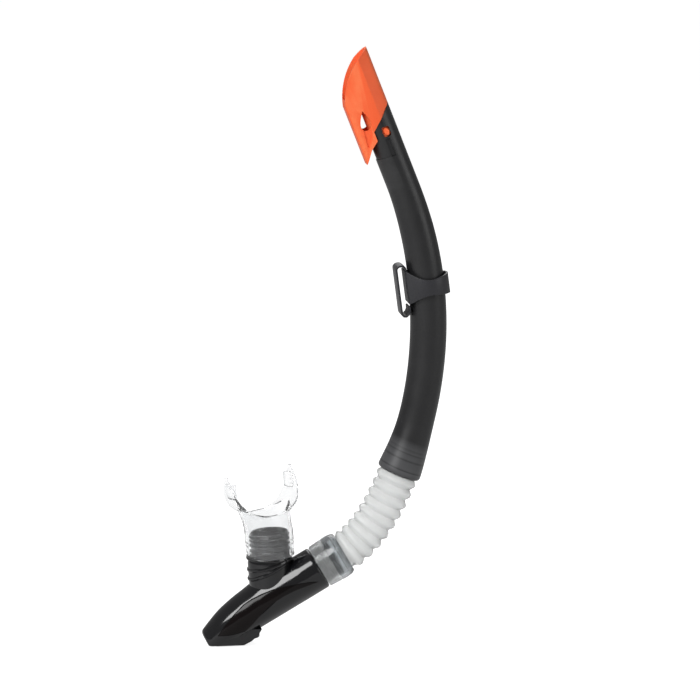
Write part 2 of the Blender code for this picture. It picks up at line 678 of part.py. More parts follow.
def build_purge(group, seat_material, valve_material, cover_material):
    """Valve seat, mushroom disc and slotted cover under the chamber's open face."""
    seat = oval_prism("purge_seat", PURGE_LENGTH, PURGE_WIDTH, -1.6 * MM - GAP, -GAP)
    hole = VALVE_RADIUS - 1.6 * MM
    ports = turned("ports", [(hole, -4 * MM), (hole, 2 * MM), (3.0 * MM, 2 * MM), (3.0 * MM, -4 * MM)],
                   PURGE_FRAME)
    for spoke in range(3):
        turn = PURGE_FRAME @ Matrix.Rotation(pi * spoke / 3, 4, "Z")
        cut(ports, block("spoke", (40 * MM, 1.6 * MM, 20 * MM), (0.0, 0.0, 0.0), turn))
    cut(seat, ports)
    cut(seat, cylinder("stem_hole", 1.3 * MM, -5 * MM, 5 * MM, PURGE_FRAME, 12))
    finish(seat, seat_material, group, CHAMBER_NECK)

    top = -1.6 * MM - 2 * GAP
    valve = cylinder("purge_valve", VALVE_RADIUS, top - 0.9 * MM, top, PURGE_FRAME, 32)
    join(valve, cylinder("stem", 0.9 * MM, top - 0.5 * MM, 2.0 * MM, PURGE_FRAME, 12))
    join(valve, cylinder("barb", 1.9 * MM, 1.7 * MM, 3.2 * MM, PURGE_FRAME, 12, 0.8 * MM))
    finish(valve, valve_material, group, PURGE_FRAME.translation)

    roof = -1.6 * MM - 2 * GAP
    cover = oval_prism("purge_cover", PURGE_LENGTH, PURGE_WIDTH, -4.6 * MM, roof, 0.0, 0.9 * MM)
    join(cover, oval_prism("dome", PURGE_LENGTH - 0.9 * MM, PURGE_WIDTH - 0.9 * MM, -6.3 * MM, -4.6 * MM,
                           0.0, 5.0 * MM))
    cut(cover, oval_prism("cover_room", PURGE_LENGTH - 2.0 * MM, PURGE_WIDTH - 2.0 * MM, -4.7 * MM, 1.0 * MM))
    for slot in range(5):
        place = (-10 + 5 * slot) * MM
        cut(cover, block("slot", (2.2 * MM, 12 * MM, 12 * MM), (place, 0.0, -6 * MM), PURGE_FRAME))
    finish(cover, cover_material, group, CHAMBER_NECK)


def build_collar(group, clear_material, seal_material):
    """Clear ribbed collar on the neck, the cap over the hose end, and the seal between them."""
    axis = CHAMBER_FRAME @ TO_CHAMBER_AXIS
    inner = NECK_RADIUS + 0.5 * MM + GAP
    profile = [(CHAMBER_RADIUS - 0.4 * MM, GAP), (CHAMBER_RADIUS + 0.1 * MM, 3.0 * MM),
               (CAP_RADIUS, COLLAR_END - 0.6 * MM), (CAP_RADIUS - 0.3 * MM, COLLAR_END),
               (inner, COLLAR_END), (inner, GAP)]
    finish(turned("swivel_collar", profile, axis), clear_material, group, HOSE_PIVOT)
    bore = HOSE_TROUGH + 0.3 * MM
    start = COLLAR_END + GAP
    cap = [(CAP_RADIUS - 0.3 * MM, start), (CAP_RADIUS, start + 0.6 * MM), (CAP_RADIUS, 16.0 * MM),
           (CAP_RADIUS - 0.7 * MM, 18.6 * MM), (CAP_RADIUS - 1.6 * MM, CAP_END - 0.4 * MM)]
    cap += [(bore + 1.3 * MM, CAP_END), (bore + 1.3 * MM, 16.9 * MM), (inner, 16.9 * MM), (inner, start)]
    finish(turned("collar_cap", cap, axis), clear_material, group, HOSE_PIVOT)
    seal = turned("swivel_seal", [(NECK_RADIUS + 0.62 * MM, 4.6 * MM), (NECK_RADIUS + 0.62 * MM, 5.9 * MM),
                                  (NECK_RADIUS + GAP / 2, 5.9 * MM), (NECK_RADIUS + GAP / 2, 4.6 * MM)], axis)
    finish(seal, seal_material, group, HOSE_PIVOT)


# ---------------------------------------------------------------- mouthpiece


def shield_path(count=15):
    """Middle line of the lip shield in the mouthpiece's frame: a wide U that closes a little at its tips."""
    points = []
    for share in spread(-1.0, 1.0, count):
        bend = abs(share) ** 2.1
        across = 25.0 * MM * sin(share * radians(97)) / sin(radians(97))
        points.append((across - (1.5 * MM * share if abs(share) > 0.9 else 0.0), 12.5 * MM + 33.0 * MM * bend))
    return points


def build_mouthpiece(group, material):
    """Collar over the port, flared throat, U-shaped lip shield with leaf-shaped wings, two bite tabs."""
    path = shield_path()
    wall = 1.1 * MM

    def side_normal(i):
        ahead = Vector(path[min(i + 1, len(path) - 1)]) - Vector(path[max(i - 1, 0)])
        ahead.normalize()
        return Vector((-ahead.y, ahead.x))

    rings = []
    for i, (across, up) in enumerate(path):
        height = 13.5 * MM * max(0.12, 1.0 - abs(2 * i / (len(path) - 1) - 1.0) ** 3.2)
        normal = side_normal(i)
        ring = []
        for thick, wide in ((-1, -1), (-1, 0), (-1, 1), (1, 1), (1, 0), (1, -1)):
            ring.append(Vector((across + normal.x * wall * thick, height * wide, up + normal.y * wall * thick)))
        rings.append(ring)
    piece = loft("mouthpiece", rings, MOUTH_FRAME)
    outer_rings, inner_rings = [], []
    throat = [(MOUTH_COLLAR_FOOT, 17.0, 17.0), (-0.5 * MM, 17.4, 17.4), (7 * MM, 17.6, 14.6), (13.0 * MM, 18.0, 12.0)]
    hollow = [(-0.3 * MM, 15.1, 15.1), (1.0 * MM, 13.2, 13.2), (8 * MM, 12.0, 10.0), (19 * MM, 10.5, 8.0)]
    for table, rows in ((throat, outer_rings), (hollow, inner_rings)):
        for up, wide, deep in table:
            rows.append(ring_points(Vector((0.0, 0.0, up)), Vector((1.0, 0.0, 0.0)), Vector((0.0, 1.0, 0.0)),
                                    wide * MM, 28, deep * MM))
    join(piece, loft("throat", outer_rings, MOUTH_FRAME))
    for side in (-1, 1):
        tab = block("tab", (3.0 * MM, 9.0 * MM, 15.0 * MM), (side * 17.5 * MM, 0.0, 35.5 * MM), MOUTH_FRAME)
        join(piece, tab)
        root = block("root", (8.0 * MM, 6.0 * MM, 3.0 * MM), (side * 20.4 * MM, 0.0, 29.5 * MM), MOUTH_FRAME)
        join(piece, root)
    cut(piece, loft("mouth_bore", inner_rings, MOUTH_FRAME))
    cut(piece, cylinder("collar_bore", PORT_RIB + GAP, -30 * MM, 0.5 * MM, MOUTH_FRAME))
    return finish(piece, material, group, PORT_CENTRE)


def main():
    """Build every piece into the object's collection."""
    clear_scene()
    group = make_collection(COLLECTION)
    orange = make_material("orange_plastic", (0.85, 0.09, 0.03), 0.42)
    smoked = make_material("smoked_plastic", (0.045, 0.045, 0.047), 0.38)
    gloss = make_material("gloss_smoked_plastic", (0.02, 0.02, 0.022), 0.12)
    keeper = make_material("charcoal_rubber", (0.035, 0.036, 0.042), 0.55)
    silicone = make_material("milky_silicone", (0.82, 0.84, 0.83), 0.3)
    clear = make_material("clear_plastic", (0.75, 0.77, 0.77), 0.1)
    build_barrel(group, smoked)
    build_guard(group, orange)
    build_latch("latch_front", -1, group, orange)
    build_latch("latch_back", 1, group, orange)
    build_keeper_band(group, keeper)
    build_keeper_gate(group, keeper)
    build_hose(group, silicone)
    build_socket_rings(group, clear, gloss)
    build_chamber(group, gloss)
    build_purge(group, gloss, silicone, gloss)
    build_collar(group, clear, gloss)
    build_mouthpiece(group, silicone)


main()
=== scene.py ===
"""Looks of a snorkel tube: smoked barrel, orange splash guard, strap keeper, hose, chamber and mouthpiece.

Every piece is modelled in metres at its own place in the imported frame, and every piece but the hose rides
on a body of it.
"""

import json
import logging
from dataclasses import dataclass
from enum import Enum
from math import atan2, cos, pi, radians, sin
from typing import Callable, Sequence

import bpy
from mathutils import Matrix, Vector

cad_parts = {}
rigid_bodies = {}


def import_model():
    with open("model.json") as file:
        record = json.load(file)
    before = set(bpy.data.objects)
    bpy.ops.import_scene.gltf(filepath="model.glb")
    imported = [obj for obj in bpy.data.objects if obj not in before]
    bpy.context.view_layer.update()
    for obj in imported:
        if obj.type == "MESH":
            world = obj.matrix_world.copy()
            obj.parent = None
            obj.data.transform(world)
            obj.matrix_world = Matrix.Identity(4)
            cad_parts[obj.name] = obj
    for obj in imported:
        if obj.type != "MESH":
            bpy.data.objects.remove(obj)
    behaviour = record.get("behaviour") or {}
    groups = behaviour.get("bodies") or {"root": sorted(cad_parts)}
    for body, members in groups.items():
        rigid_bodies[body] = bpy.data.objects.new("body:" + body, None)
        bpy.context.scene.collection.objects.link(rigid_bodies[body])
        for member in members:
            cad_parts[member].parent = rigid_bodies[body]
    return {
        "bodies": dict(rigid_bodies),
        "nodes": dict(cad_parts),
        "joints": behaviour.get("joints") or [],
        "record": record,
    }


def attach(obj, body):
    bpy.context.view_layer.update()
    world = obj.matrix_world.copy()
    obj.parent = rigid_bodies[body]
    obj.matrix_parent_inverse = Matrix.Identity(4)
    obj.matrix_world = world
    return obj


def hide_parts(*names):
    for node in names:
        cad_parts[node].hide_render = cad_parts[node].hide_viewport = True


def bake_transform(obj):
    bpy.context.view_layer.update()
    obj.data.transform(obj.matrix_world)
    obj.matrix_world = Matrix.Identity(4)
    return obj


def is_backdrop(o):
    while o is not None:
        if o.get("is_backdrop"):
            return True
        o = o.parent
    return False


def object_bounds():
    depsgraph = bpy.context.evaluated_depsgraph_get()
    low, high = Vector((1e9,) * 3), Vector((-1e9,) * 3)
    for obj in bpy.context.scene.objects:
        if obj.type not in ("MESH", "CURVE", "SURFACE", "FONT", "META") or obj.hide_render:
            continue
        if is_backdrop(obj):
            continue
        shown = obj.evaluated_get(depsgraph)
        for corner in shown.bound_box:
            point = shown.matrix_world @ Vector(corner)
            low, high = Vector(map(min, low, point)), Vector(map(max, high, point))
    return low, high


LOG = logging.getLogger("snorkel_looks")
MM = 0.001
Colour = tuple[float, float, float]
Table = Sequence[tuple[float, float]]
Wire = Callable[[bpy.types.NodeTree, bpy.types.Node, bpy.types.Node], None]


class Body(Enum):
    """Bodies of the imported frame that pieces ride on."""

    BARREL = "barrel"
    KEEPER = "keeper"
    GATE = "gate"
    HOSE_END = "hose_end"
    CHAMBER = "chamber"
    MOUTHPIECE = "mouthpiece"


class Slot(Enum):
    """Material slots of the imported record."""

    SMOKED = "smoked_plastic"
    ORANGE = "orange_plastic"
    CHARCOAL = "charcoal_rubber"
    MILKY = "milky_silicone"
    CLEAR = "clear_plastic"
    GLOSS = "gloss_smoked_plastic"
    SILICONE = "clear_silicone"


class Step(Enum):
    """Ways of combining one closed piece with another."""

    JOIN = "UNION"
    CUT = "DIFFERENCE"
    KEEP = "INTERSECT"


class Ends(Enum):
    """How the two ends of a swept tube are closed."""

    CAPPED = "capped"
    JOINED = "joined"


@dataclass(frozen=True)
class Station:
    """One ring of a sweep: its centre, the turn of its axis from +Z towards +X, and its two radii."""

    centre: Vector
    turn: float
    across: float
    side: float


# ---------------------------------------------------------------- sizes shared by several pieces


def tilted(origin: Vector, angle: float) -> Matrix:
    """Frame in the XZ plane whose local X is turned up from world X.

    Args:
        origin: The frame's origin.
        angle: The turn in radians.

    Returns:
        The frame's matrix.
    """
    return Matrix.Translation(origin) @ Matrix.Rotation(-angle, 4, "Y")


ARC_CENTRE = Vector((-258.4, 0.0, -24.8)) * MM
ARC_RADIUS = 277.1 * MM
ARC_LOW = radians(-22.6)
ARC_HIGH = radians(21.5)
ARC_LENGTH = ARC_RADIUS * (ARC_HIGH - ARC_LOW)
STRAIGHT_FRAME = tilted(ARC_CENTRE + ARC_RADIUS * Vector((cos(ARC_HIGH), 0.0, sin(ARC_HIGH))), ARC_HIGH)
KEEPER_FRAME = tilted(Vector((17.1, 0.0, 5.0)) * MM, radians(7.5))
CHAMBER_TILT = radians(30)
CHAMBER_FRAME = tilted(Vector((-59.35, 0.0, -197.9)) * MM, CHAMBER_TILT)
CHAMBER_AXIS = CHAMBER_FRAME @ Matrix.Rotation(pi / 2, 4, "Y")
PORT_FRAME = tilted(Vector((-95.2, 0.0, -170.8)) * MM, radians(4))
MOUTH_FRAME = PORT_FRAME @ Matrix.Rotation(radians(27), 4, "Z")
PURGE_FACE_Z = -244.9 * MM
PURGE_FRAME = Matrix.Translation((-121.6 * MM, 0.0, PURGE_FACE_Z))
TOP_RADIUS = 11.15 * MM


def even(low: float, high: float, count: int) -> list[float]:
    """Evenly spaced values.

    Args:
        low: The first value.
        high: The last value.
        count: How many values.

    Returns:
        The values, both ends among them.
    """
    return [low + (high - low) * i / (count - 1) for i in range(count)]


def from_mm(pairs: Table) -> list[tuple[float, float]]:
    """Pairs given in millimetres, turned into metres."""
    return [(first * MM, second * MM) for first, second in pairs]


def eased(value: float, table: Table) -> float:
    """Smoothly rounded value between the places of a table.

    Args:
        value: The place to look up.
        table: Pairs of place and value, in rising order of place.

    Returns:
        The value on a curve through the pairs.
    """
    if value <= table[0][0]:
        return table[0][1]
    for i in range(len(table) - 1):
        low, first = table[i]
        high, second = table[i + 1]
        if value <= high:
            before = table[max(i - 1, 0)]
            after = table[min(i + 2, len(table) - 1)]
            span = high - low
            leave = (second - before[1]) / max(high - before[0], 1e-9) * span
            arrive = (after[1] - first) / max(after[0] - low, 1e-9) * span
            t = (value - low) / span
            return ((2 * t ** 3 - 3 * t ** 2 + 1) * first + (t ** 3 - 2 * t ** 2 + t) * leave
                    + (3 * t ** 2 - 2 * t ** 3) * second + (t ** 3 - t ** 2) * arrive)
    return table[-1][1]


# ---------------------------------------------------------------- workbench


class Bench:
    """Modelling steps in edit mode, one call for each thing done by hand."""

    @staticmethod
    def clear() -> None:
        """Leave edit mode and select nothing."""
        if bpy.context.mode != "OBJECT":
            bpy.ops.object.mode_set(mode="OBJECT")
        bpy.ops.object.select_all(action="DESELECT")

    @staticmethod
    def pick(piece: bpy.types.Object) -> None:
        """Select one piece alone and make it the active one."""
        Bench.clear()
        piece.select_set(True)
        bpy.context.view_layer.objects.active = piece

    @staticmethod
    def edit(piece: bpy.types.Object) -> None:
        """Open a piece in edit mode with all of it selected."""
        Bench.pick(piece)
        bpy.ops.object.mode_set(mode="EDIT")
        bpy.ops.mesh.select_all(action="SELECT")

    @staticmethod
    def close(piece: bpy.types.Object) -> bpy.types.Object:
        """Merge doubles, turn the faces outwards and leave edit mode.

        Args:
            piece: The piece that is open in edit mode.

        Returns:
            The same piece.
        """
        bpy.ops.mesh.select_all(action="SELECT")
        bpy.ops.mesh.remove_doubles(threshold=0.002 * MM)
        bpy.ops.mesh.normals_make_consistent(inside=False)
        bpy.ops.object.mode_set(mode="OBJECT")
        return piece

    @staticmethod
    def place(piece: bpy.types.Object, frame: Matrix) -> bpy.types.Object:
        """Move a piece from its own frame into the world and keep its object at the origin.

        Args:
            piece: The piece.
            frame: The frame it was modelled in.

        Returns:
            The same piece.
        """
        Bench.pick(piece)
        piece.matrix_world = frame
        bpy.ops.object.transform_apply(location=True, rotation=True, scale=True)
        return piece

    @staticmethod
    def draw(name: str, points: Sequence[Vector], closed: bool = True) -> bpy.types.Object:
        """Draw an outline by extruding one point from place to place.

        Args:
            name: The new piece's name.
            points: The outline's points.
            closed: Whether the last point joins the first.

        Returns:
            The outline, in object mode.
        """
        Bench.clear()
        bpy.ops.mesh.primitive_plane_add(size=MM, location=(0.0, 0.0, 0.0))
        piece = bpy.context.object
        piece.name = name
        Bench.edit(piece)
        bpy.ops.mesh.merge(type="CENTER")
        bpy.ops.transform.translate(value=tuple(points[0]))
        way = [*points, points[0]] if closed else list(points)
        for here, there in zip(way, way[1:]):
            bpy.ops.mesh.extrude_region_move(TRANSFORM_OT_translate={"value": tuple(there - here)})
        bpy.ops.mesh.select_all(action="SELECT")
        bpy.ops.mesh.remove_doubles(threshold=0.001 * MM)
        bpy.ops.object.mode_set(mode="OBJECT")
        return piece

    @staticmethod
    def prism(name: str, outline: Sequence[Vector], travel: Vector) -> bpy.types.Object:
        """Fill an outline and extrude it.

        Args:
            name: The new piece's name.
            outline: The outline's points, all in one plane.
            travel: How far and which way it is extruded.

        Returns:
            The closed prism.
        """
        piece = Bench.draw(name, outline)
        Bench.edit(piece)
        bpy.ops.mesh.edge_face_add()
        bpy.ops.mesh.extrude_region_move(TRANSFORM_OT_translate={"value": tuple(travel)})
        return Bench.close(piece)

    @staticmethod
    def lathe(name: str, profile: Table, frame: Matrix, steps: int = 96) -> bpy.types.Object:
        """Spin a profile of (radius, height) about the frame's Z.

        Args:
            name: The new piece's name.
            profile: The profile, closed unless it starts and ends on the axis.
            frame: The frame whose Z is the axis.
            steps: How many steps make a full turn.

        Returns:
            The closed turned piece.
        """
        solid = profile[0][0] == 0.0 and profile[-1][0] == 0.0
        piece = Bench.draw(name, [Vector((r, 0.0, z)) for r, z in profile], closed=not solid)
        Bench.edit(piece)
        bpy.ops.mesh.spin(steps=steps, angle=2 * pi, center=(0.0, 0.0, 0.0), axis=(0.0, 0.0, 1.0))
        Bench.close(piece)
        return Bench.place(piece, frame)

    @staticmethod
    def sweep(name: str, stations: Sequence[Station], sides: int, ends: Ends) -> bpy.types.Object:
        """Extrude a ring from station to station, turned and resized at each one.

        Args:
            name: The new piece's name.
            stations: The rings in order.
            sides: How many points a ring has.
            ends: Whether the ends get caps or the last ring joins the first.

        Returns:
            The closed tube.
        """
        Bench.clear()
        first = stations[0]
        bpy.ops.mesh.primitive_circle_add(vertices=sides, radius=first.across, location=first.centre,
                                          rotation=(0.0, first.turn, 0.0))
        piece = bpy.context.object
        piece.name = name
        bpy.ops.object.transform_apply(location=True, rotation=True, scale=True)
        Bench.edit(piece)
        bpy.ops.transform.resize(value=(1.0, first.side / first.across, 1.0),
                                 center_override=tuple(first.centre))
        for here, there in zip(stations, stations[1:]):
            move = tuple(there.centre - here.centre)
            bpy.ops.mesh.extrude_region_move(TRANSFORM_OT_translate={"value": move})
            turn = (there.turn - here.turn + pi) % (2 * pi) - pi
            if abs(turn) > 1e-7:
                bpy.ops.transform.rotate(value=-turn, orient_axis="Y", center_override=tuple(there.centre))
            size = there.across / here.across
            bpy.ops.transform.resize(value=(size, there.side / here.side, size),
                                     center_override=tuple(there.centre))
        bpy.ops.mesh.select_all(action="DESELECT")
        bpy.ops.mesh.select_non_manifold()
        if ends is Ends.JOINED:
            bpy.ops.mesh.bridge_edge_loops()
        else:
            bpy.ops.mesh.fill_holes(sides=0)
        return Bench.close(piece)

    @staticmethod
    def box(name: str, size: Vector, centre: Vector, frame: Matrix,
            round_off: float = 0.0) -> bpy.types.Object:
        """Cube at its size and place, with its edges bevelled.

        Args:
            name: The new piece's name.
            size: Its three sides.
            centre: Its middle in the frame.
            frame: The frame.
            round_off: The bevel's width, or 0 for sharp edges.

        Returns:
            The block.
        """
        Bench.clear()
        bpy.ops.mesh.primitive_cube_add(size=1.0, location=centre, scale=size)
        piece = bpy.context.object
        piece.name = name
        bpy.ops.object.transform_apply(location=True, rotation=True, scale=True)
        if round_off:
            Bench.edit(piece)
            bpy.ops.mesh.bevel(offset=round_off, segments=3)
            Bench.close(piece)
        return Bench.place(piece, frame)

    @staticmethod
    def apply(piece: bpy.types.Object, modifier: bpy.types.Modifier) -> None:
        """Apply one modifier of a piece."""
        Bench.pick(piece)
        bpy.ops.object.modifier_apply(modifier=modifier.name)

    @staticmethod
    def combine(piece: bpy.types.Object, tool: bpy.types.Object, step: Step) -> bpy.types.Object:
        """Join, cut or keep a piece with another closed one, which is used up.

        Args:
            piece: The piece that stays.
            tool: The piece that is used up.
            step: What is done.

        Returns:
            The piece that stays.
        """
        modifier = piece.modifiers.new(step.name.lower(), "BOOLEAN")
        modifier.operation = step.value
        modifier.solver = "EXACT"
        modifier.object = tool
        Bench.apply(piece, modifier)
        bpy.data.objects.remove(tool, do_unlink=True)
        return piece

    @staticmethod
    def soften(piece: bpy.types.Object, width: float, angle: float = 32.0, segments: int = 2) -> None:
        """Round the edges that are sharper than an angle.

        Args:
            piece: The piece.
            width: The bevel's width.
            angle: The smallest angle that is rounded, in degrees.
            segments: How many faces make the rounding.
        """
        modifier = piece.modifiers.new("soften", "BEVEL")
        modifier.width = width
        modifier.segments = segments
        modifier.limit_method = "ANGLE"
        modifier.angle_limit = radians(angle)
        modifier.miter_outer = "MITER_ARC"
        modifier.harden_normals = False
        Bench.apply(piece, modifier)

    @staticmethod
    def smooth(piece: bpy.types.Object, angle: float = 34.0) -> bpy.types.Object:
        """Shade a piece smooth except across edges sharper than an angle.

        Args:
            piece: The piece.
            angle: The angle in degrees.

        Returns:
            The same piece.
        """
        Bench.pick(piece)
        bpy.ops.object.shade_smooth_by_angle(angle=radians(angle))
        return piece


# ---------------------------------------------------------------- shader node groups


class Effects:
    """Surface effects that several finishes share, each built once as a node group."""

    made: dict[str, bpy.types.NodeTree] = {}
    materials: dict[str, bpy.types.Material] = {}

    @classmethod
    def group(cls, name: str, inputs: dict[str, object], outputs: dict[str, str],
              wire: Wire) -> bpy.types.NodeTree:
        """Build a node group, or give back the one built before.

        Args:
            name: The group's name.
            inputs: Input names with their starting values.
            outputs: Output names with their socket types.
            wire: Adds the group's nodes between its input and output nodes.

        Returns:
            The node group.
        """
        if name in cls.made:
            return cls.made[name]
        tree = bpy.data.node_groups.new(name, "ShaderNodeTree")
        for label, value in inputs.items():
            kind = "NodeSocketColor" if isinstance(value, tuple) else "NodeSocketFloat"
            socket = tree.interface.new_socket(label, in_out="INPUT", socket_type=kind)
            socket.default_value = (*value, 1.0) if isinstance(value, tuple) else value
        for label, kind in outputs.items():
            tree.interface.new_socket(label, in_out="OUTPUT", socket_type=kind)
        wire(tree, tree.nodes.new("NodeGroupInput"), tree.nodes.new("NodeGroupOutput"))
        cls.made[name] = tree
        return tree

    @classmethod
    def colour_drift(cls) -> bpy.types.NodeTree:
        """Slow wandering between two close colours, as in moulded plastic.

        Returns:
            The node group.
        """
        def wire(tree: bpy.types.NodeTree, given: bpy.types.Node, result: bpy.types.Node) -> None:
            """Noise on the piece's own coordinates mixes the two colours.

            Args:
                tree: The group's node tree.
                given: The group's input node.
                result: The group's output node.
            """
            place = tree.nodes.new("ShaderNodeTexCoord")
            noise = tree.nodes.new("ShaderNodeTexNoise")
            noise.inputs["Detail"].default_value = 3.0
            share = tree.nodes.new("ShaderNodeMapRange")
            share.inputs["From Min"].default_value = 0.35
            share.inputs["From Max"].default_value = 0.65
            mix = tree.nodes.new("ShaderNodeMix")
            mix.data_type = "RGBA"
            tree.links.new(place.outputs["Object"], noise.inputs["Vector"])
            tree.links.new(given.outputs["Scale"], noise.inputs["Scale"])
            tree.links.new(noise.outputs["Fac"], share.inputs["Value"])
            tree.links.new(share.outputs["Result"], mix.inputs["Factor"])
            tree.links.new(given.outputs["Colour"], mix.inputs[6])
            tree.links.new(given.outputs["Second Colour"], mix.inputs[7])
            tree.links.new(mix.outputs[2], result.inputs["Colour"])
        return cls.group("colour_drift", {"Colour": (0.5, 0.5, 0.5), "Second Colour": (0.4, 0.4, 0.4),
                                          "Scale": 30.0}, {"Colour": "NodeSocketColor"}, wire)

    @classmethod
    def moulded_grain(cls) -> bpy.types.NodeTree:
        """Fine pitted grain of a mould, as a height and as a mask.

        Returns:
            The node group.
        """
        def wire(tree: bpy.types.NodeTree, given: bpy.types.Node, result: bpy.types.Node) -> None:
            """Fine noise gives the height, and coarse noise the uneven gloss.

            Args:
                tree: The group's node tree.
                given: The group's input node.
                result: The group's output node.
            """
            place = tree.nodes.new("ShaderNodeTexCoord")
            fine = tree.nodes.new("ShaderNodeTexNoise")
            fine.inputs["Detail"].default_value = 2.0
            coarse = tree.nodes.new("ShaderNodeTexNoise")
            coarse.inputs["Scale"].default_value = 90.0
            coarse.inputs["Detail"].default_value = 4.0
            scaled = tree.nodes.new("ShaderNodeMath")
            scaled.operation = "MULTIPLY"
            tree.links.new(place.outputs["Object"], fine.inputs["Vector"])
            tree.links.new(place.outputs["Object"], coarse.inputs["Vector"])
            tree.links.new(given.outputs["Scale"], fine.inputs["Scale"])
            tree.links.new(fine.outputs["Fac"], scaled.inputs[0])
            tree.links.new(given.outputs["Depth"], scaled.inputs[1])
            tree.links.new(scaled.outputs["Value"], result.inputs["Height"])
            tree.links.new(coarse.outputs["Fac"], result.inputs["Mask"])
        return cls.group("moulded_grain", {"Scale": 1500.0, "Depth": 1.0},
                         {"Height": "NodeSocketFloat", "Mask": "NodeSocketFloat"}, wire)

    @classmethod
    def edge_highlight(cls) -> bpy.types.NodeTree:
        """Mask of the edges that get a painted highlight, broken up by noise.

        Returns:
            The node group.
        """
        def wire(tree: bpy.types.NodeTree, given: bpy.types.Node, result: bpy.types.Node) -> None:
            """Pointiness above its middle value, times noise and the asked amount.

            Args:
                tree: The group's node tree.
                given: The group's input node.
                result: The group's output node.
            """
            shape = tree.nodes.new("ShaderNodeNewGeometry")
            edge = tree.nodes.new("ShaderNodeMapRange")
            edge.inputs["From Min"].default_value = 0.53
            edge.inputs["From Max"].default_value = 0.62
            place = tree.nodes.new("ShaderNodeTexCoord")
            noise = tree.nodes.new("ShaderNodeTexNoise")
            noise.inputs["Scale"].default_value = 160.0
            broken = tree.nodes.new("ShaderNodeMath")
            broken.operation = "MULTIPLY"
            amount = tree.nodes.new("ShaderNodeMath")
            amount.operation = "MULTIPLY"
            amount.use_clamp = True
            tree.links.new(shape.outputs["Pointiness"], edge.inputs["Value"])
            tree.links.new(place.outputs["Object"], noise.inputs["Vector"])
            tree.links.new(edge.outputs["Result"], broken.inputs[0])
            tree.links.new(noise.outputs["Fac"], broken.inputs[1])
            tree.links.new(broken.outputs["Value"], amount.inputs[0])
            tree.links.new(given.outputs["Amount"], amount.inputs[1])
            tree.links.new(amount.outputs["Value"], result.inputs["Mask"])
        return cls.group("edge_highlight", {"Amount": 0.5}, {"Mask": "NodeSocketFloat"}, wire)


# ---------------------------------------------------------------- finishes


@dataclass(frozen=True)
class Finish:
    """Moulded plastic or rubber with a drifting colour, a fine grain and a painted highlight on its edges."""

    name: str
    colour: Colour
    second: Colour
    roughness: tuple[float, float]
    grain: float = 1500.0
    depth: float = 0.02
    # Amount and colour of the painted highlight on convex edges.
    painted_highlight: float = 0.0
    highlight_colour: Colour = (0.3, 0.3, 0.3)
    coat: float = 0.0
    transmission: float = 0.0
    ior: float = 1.5
    sheen: float = 0.0
    subsurface: float = 0.0

    def colour_nodes(self, tree: bpy.types.NodeTree) -> bpy.types.NodeSocket:
        """Nodes for the base colour.

        Args:
            tree: The material's node tree.

        Returns:
            The socket that gives the colour.
        """
        drift = tree.nodes.new("ShaderNodeGroup")
        drift.node_tree = Effects.colour_drift()
        drift.inputs["Colour"].default_value = (*self.colour, 1.0)
        drift.inputs["Second Colour"].default_value = (*self.second, 1.0)
        if not self.painted_highlight:
            return drift.outputs["Colour"]
        # Painted highlight: convex edges are mixed towards a lighter colour.
        painted_highlight = tree.nodes.new("ShaderNodeGroup")
        painted_highlight.node_tree = Effects.edge_highlight()
        painted_highlight.inputs["Amount"].default_value = self.painted_highlight
        mix = tree.nodes.new("ShaderNodeMix")
        mix.data_type = "RGBA"
        mix.inputs[7].default_value = (*self.highlight_colour, 1.0)
        tree.links.new(painted_highlight.outputs["Mask"], mix.inputs["Factor"])
        tree.links.new(drift.outputs["Colour"], mix.inputs[6])
        return mix.outputs[2]

    def material(self) -> bpy.types.Material:
        """Build the material once and give it back each time.

        Returns:
            The material.
        """
        if self.name in Effects.materials:
            return Effects.materials[self.name]
        material = bpy.data.materials.new(self.name)
        Effects.materials[self.name] = material
        material.use_nodes = True
        tree = material.node_tree
        shader = tree.nodes["Principled BSDF"]
        shader.inputs["IOR"].default_value = self.ior
        shader.inputs["Coat Weight"].default_value = self.coat
        shader.inputs["Coat Roughness"].default_value = 0.08
        shader.inputs["Transmission Weight"].default_value = self.transmission
        shader.inputs["Sheen Weight"].default_value = self.sheen
        shader.inputs["Subsurface Weight"].default_value = self.subsurface
        shader.inputs["Subsurface Scale"].default_value = 2.0 * MM
        tree.links.new(self.colour_nodes(tree), shader.inputs["Base Color"])
        grain = tree.nodes.new("ShaderNodeGroup")
        grain.node_tree = Effects.moulded_grain()
        grain.inputs["Scale"].default_value = self.grain
        uneven = tree.nodes.new("ShaderNodeMapRange")
        uneven.inputs["From Min"].default_value = 0.3
        uneven.inputs["From Max"].default_value = 0.7
        uneven.inputs["To Min"].default_value = self.roughness[0]
        uneven.inputs["To Max"].default_value = self.roughness[1]
        tree.links.new(grain.outputs["Mask"], uneven.inputs["Value"])
        tree.links.new(uneven.outputs["Result"], shader.inputs["Roughness"])
        bump = tree.nodes.new("ShaderNodeBump")
        bump.inputs["Strength"].default_value = 0.5
        bump.inputs["Distance"].default_value = self.depth * MM
        tree.links.new(grain.outputs["Height"], bump.inputs["Height"])
        tree.links.new(bump.outputs["Normal"], shader.inputs["Normal"])
        return material

    def dress(self, piece: bpy.types.Object) -> bpy.types.Object:
        """Give a piece this finish alone.

        Args:
            piece: The piece.

        Returns:
            The same piece.
        """
        piece.data.materials.clear()
        piece.data.materials.append(self.material())
        return piece


